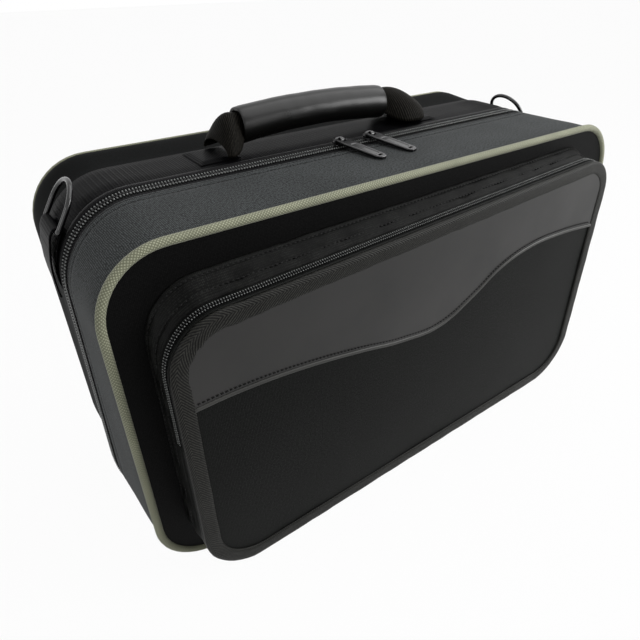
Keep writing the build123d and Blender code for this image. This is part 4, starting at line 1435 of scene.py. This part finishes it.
# %% Foam trays, cradle, block and compartment lid
for node, body_name, voxel_mm, rounds, finish, slot in (
        ("lid_shell", "lid", 3.2, 3, lining, "foam"),
        ("base_shell", "base", 3.2, 3, lining, "foam"),
        ("cradle", "base", 2.4, 4, lining, "plush"),
        ("mouthpiece_block", "base", 1.4, 2, moulded_foam, "hard_foam"),
        ("accessory_lid", "accessory_lid", 1.1, 3, lining, "plush")):
    piece = soft_copy(node, node + "_lining", voxel_mm, rounds)
    settle(piece, body_name, slot, finish, node)
    print(node, len(piece.data.polygons), "faces")

# %% Ribbon of the compartment lid
tab_low, tab_high = (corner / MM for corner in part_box("accessory_tab"))
tab = sheet_grid("accessory_ribbon", (tab_low.x, tab_high.x, tab_low.z, tab_high.z), tab_low.y,
                 -1, 1.5)
dents(tab, 12, 1.2)
thicken(tab, 0.7)
flat_weave(tab)
settle(tab, "accessory_lid", "webbing", webbing_cloth, "accessory_tab")
print("ribbon:", len(tab.data.polygons), "faces")

# %% [markdown]
# The pad in the lid is quilted.  It starts a little thinner than it ends, is remeshed, and then
# Blender's cloth solver swells it with pressure while its edge and its sewn channels stay put.

# %% Lid pad
PAD_FRAMES, PAD_CAP = 20, 4.0
CHANNELS, CHANNEL_HALF, CHANNEL_DEEP = (-172, -86, 0, 86, 172), 2.6, 3.0
pad = soft_copy("lid_pad", "lid_pad_quilted", 5, 1)
pad_low, pad_high = (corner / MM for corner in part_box("lid_pad"))
edit(pad)
bpy.ops.transform.resize(value=(0.99, 0.72, 0.985), center_override=tuple(
    Vector(((pad_low.x + pad_high.x) / 2, pad_low.y, (pad_low.z + pad_high.z) / 2)) * MM))
done()


def sewn(spot):
    """Whether a place in millimetres lies on a channel."""
    return min(abs(spot.x - x) for x in CHANNELS) < CHANNEL_HALF


def held_in_place(spot):
    """Whether the solver keeps a place: the pad's back and edge, and its channels."""
    rim = min(spot.x - pad_low.x, pad_high.x - spot.x, spot.z - pad_low.z, pad_high.z - spot.z)
    return spot.y < pad_low.y + 3 or rim < 9 or sewn(spot)


pins = pad.vertex_groups.new(name="pins")
for vertex in pad.data.vertices:
    spot = vertex.co / MM
    if held_in_place(spot):
        pins.add([vertex.index], 1.0, "REPLACE")
        if sewn(spot) and spot.y > pad_low.y + 4:
            vertex.co.y -= CHANNEL_DEEP * MM
print("pinned points of the pad:", sum(len(vertex.groups) for vertex in pad.data.vertices))

# %% Swelling the pad
rest = np.array([vertex.co for vertex in pad.data.vertices])
cloth = pad.modifiers.new("cloth", "CLOTH")
cloth.settings.use_pressure = True
cloth.settings.uniform_pressure_force = 4.0
cloth.settings.effector_weights.gravity = 0.0
cloth.settings.vertex_group_mass = "pins"
cloth.settings.tension_stiffness = 8
cloth.collision_settings.use_collision = False
for number in range(1, PAD_FRAMES + 1):
    bpy.context.scene.frame_set(number)
only(pad)
bpy.ops.object.modifier_apply(modifier="cloth")
bpy.context.scene.frame_set(1)
swollen = np.array([vertex.co for vertex in pad.data.vertices])
shift = swollen - rest
reach = np.linalg.norm(shift, axis=1)
shift *= np.minimum(1, PAD_CAP * MM / np.maximum(reach, 1e-9))[:, None]
pad.data.vertices.foreach_set("co", (rest + shift).ravel())
print("the pad swelled by up to", round(reach.max() / MM, 1), "mm before the cap")
pad.vertex_groups.clear()
apply_modifier(pad, "SUBSURF", levels=1, render_levels=1)
bpy.ops.object.shade_smooth()
settle(pad, "lid", "plush", lining, "lid_pad")
print("pad:", len(pad.data.polygons), "faces")

# %% [markdown]
# The sliders and pulls are die-cast and enamelled, so no edge is sharp and every edge catches
# light.  Remeshing a copy of each solid very finely and smoothing it gives that roundness.
# The solid pulls are slim and lie square to the zip, while the real ones are broad and lie
# aslant, so each copy is widened and turned about its bar.  A main slider also has a crown over
# its body, which is a sphere flattened to a low dome.

# %% Sliders and pulls
CASTING_VOXEL = 0.28
PULL_TURN, PULL_WIDEN, PULL_SWELL = 10, 1.45, 0.3
CROWN_HALF, CROWN_Y, CROWN_Z = Vector((6.9, 2.3, 4.2)), 3.3, 299.2


def turn_pull(casting, bar):
    """Widen a pull and turn it about its bar."""
    turn = Matrix.Rotation(radians(PULL_TURN), 4, "Z")
    for vertex in casting.data.vertices:
        spot = vertex.co - bar
        spot.x *= PULL_WIDEN
        vertex.co = bar + turn @ spot
    apply_modifier(casting, "DISPLACE", strength=PULL_SWELL * MM, mid_level=0)


def slider_crown(name, x_mm):
    """Low dome over a main slider."""
    bpy.ops.object.select_all(action="DESELECT")
    bpy.ops.mesh.primitive_uv_sphere_add(segments=28, ring_count=14, radius=1)
    crown = bpy.context.object
    crown.name = crown.data.name = name
    for vertex in crown.data.vertices:
        vertex.co = (Vector((x_mm, CROWN_Y, CROWN_Z)) + vertex.co * CROWN_HALF) * MM
    bpy.ops.object.shade_smooth()
    return crown


for node, body_name in (("zip_slider_left", "slider_left"), ("zip_slider_right", "slider_right"),
                        ("zip_pull_left", "pull_left"), ("zip_pull_right", "pull_right"),
                        ("pocket_slider", "pocket_slider"), ("pocket_pull", "pocket_pull")):
    casting = soft_copy(node, node + "_casting", CASTING_VOXEL, 3)
    low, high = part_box(node)
    middle_x = (low.x + high.x) / 2
    if node.startswith("zip_pull"):
        turn_pull(casting, Vector((middle_x, 0, high.z)))
    settle(casting, body_name, "black_metal", black_enamel, node)
    if node.startswith("zip_slider"):
        settle(slider_crown(node + "_crown", middle_x / MM), body_name, "black_metal", black_enamel)
    print(node, len(casting.data.polygons), "faces")
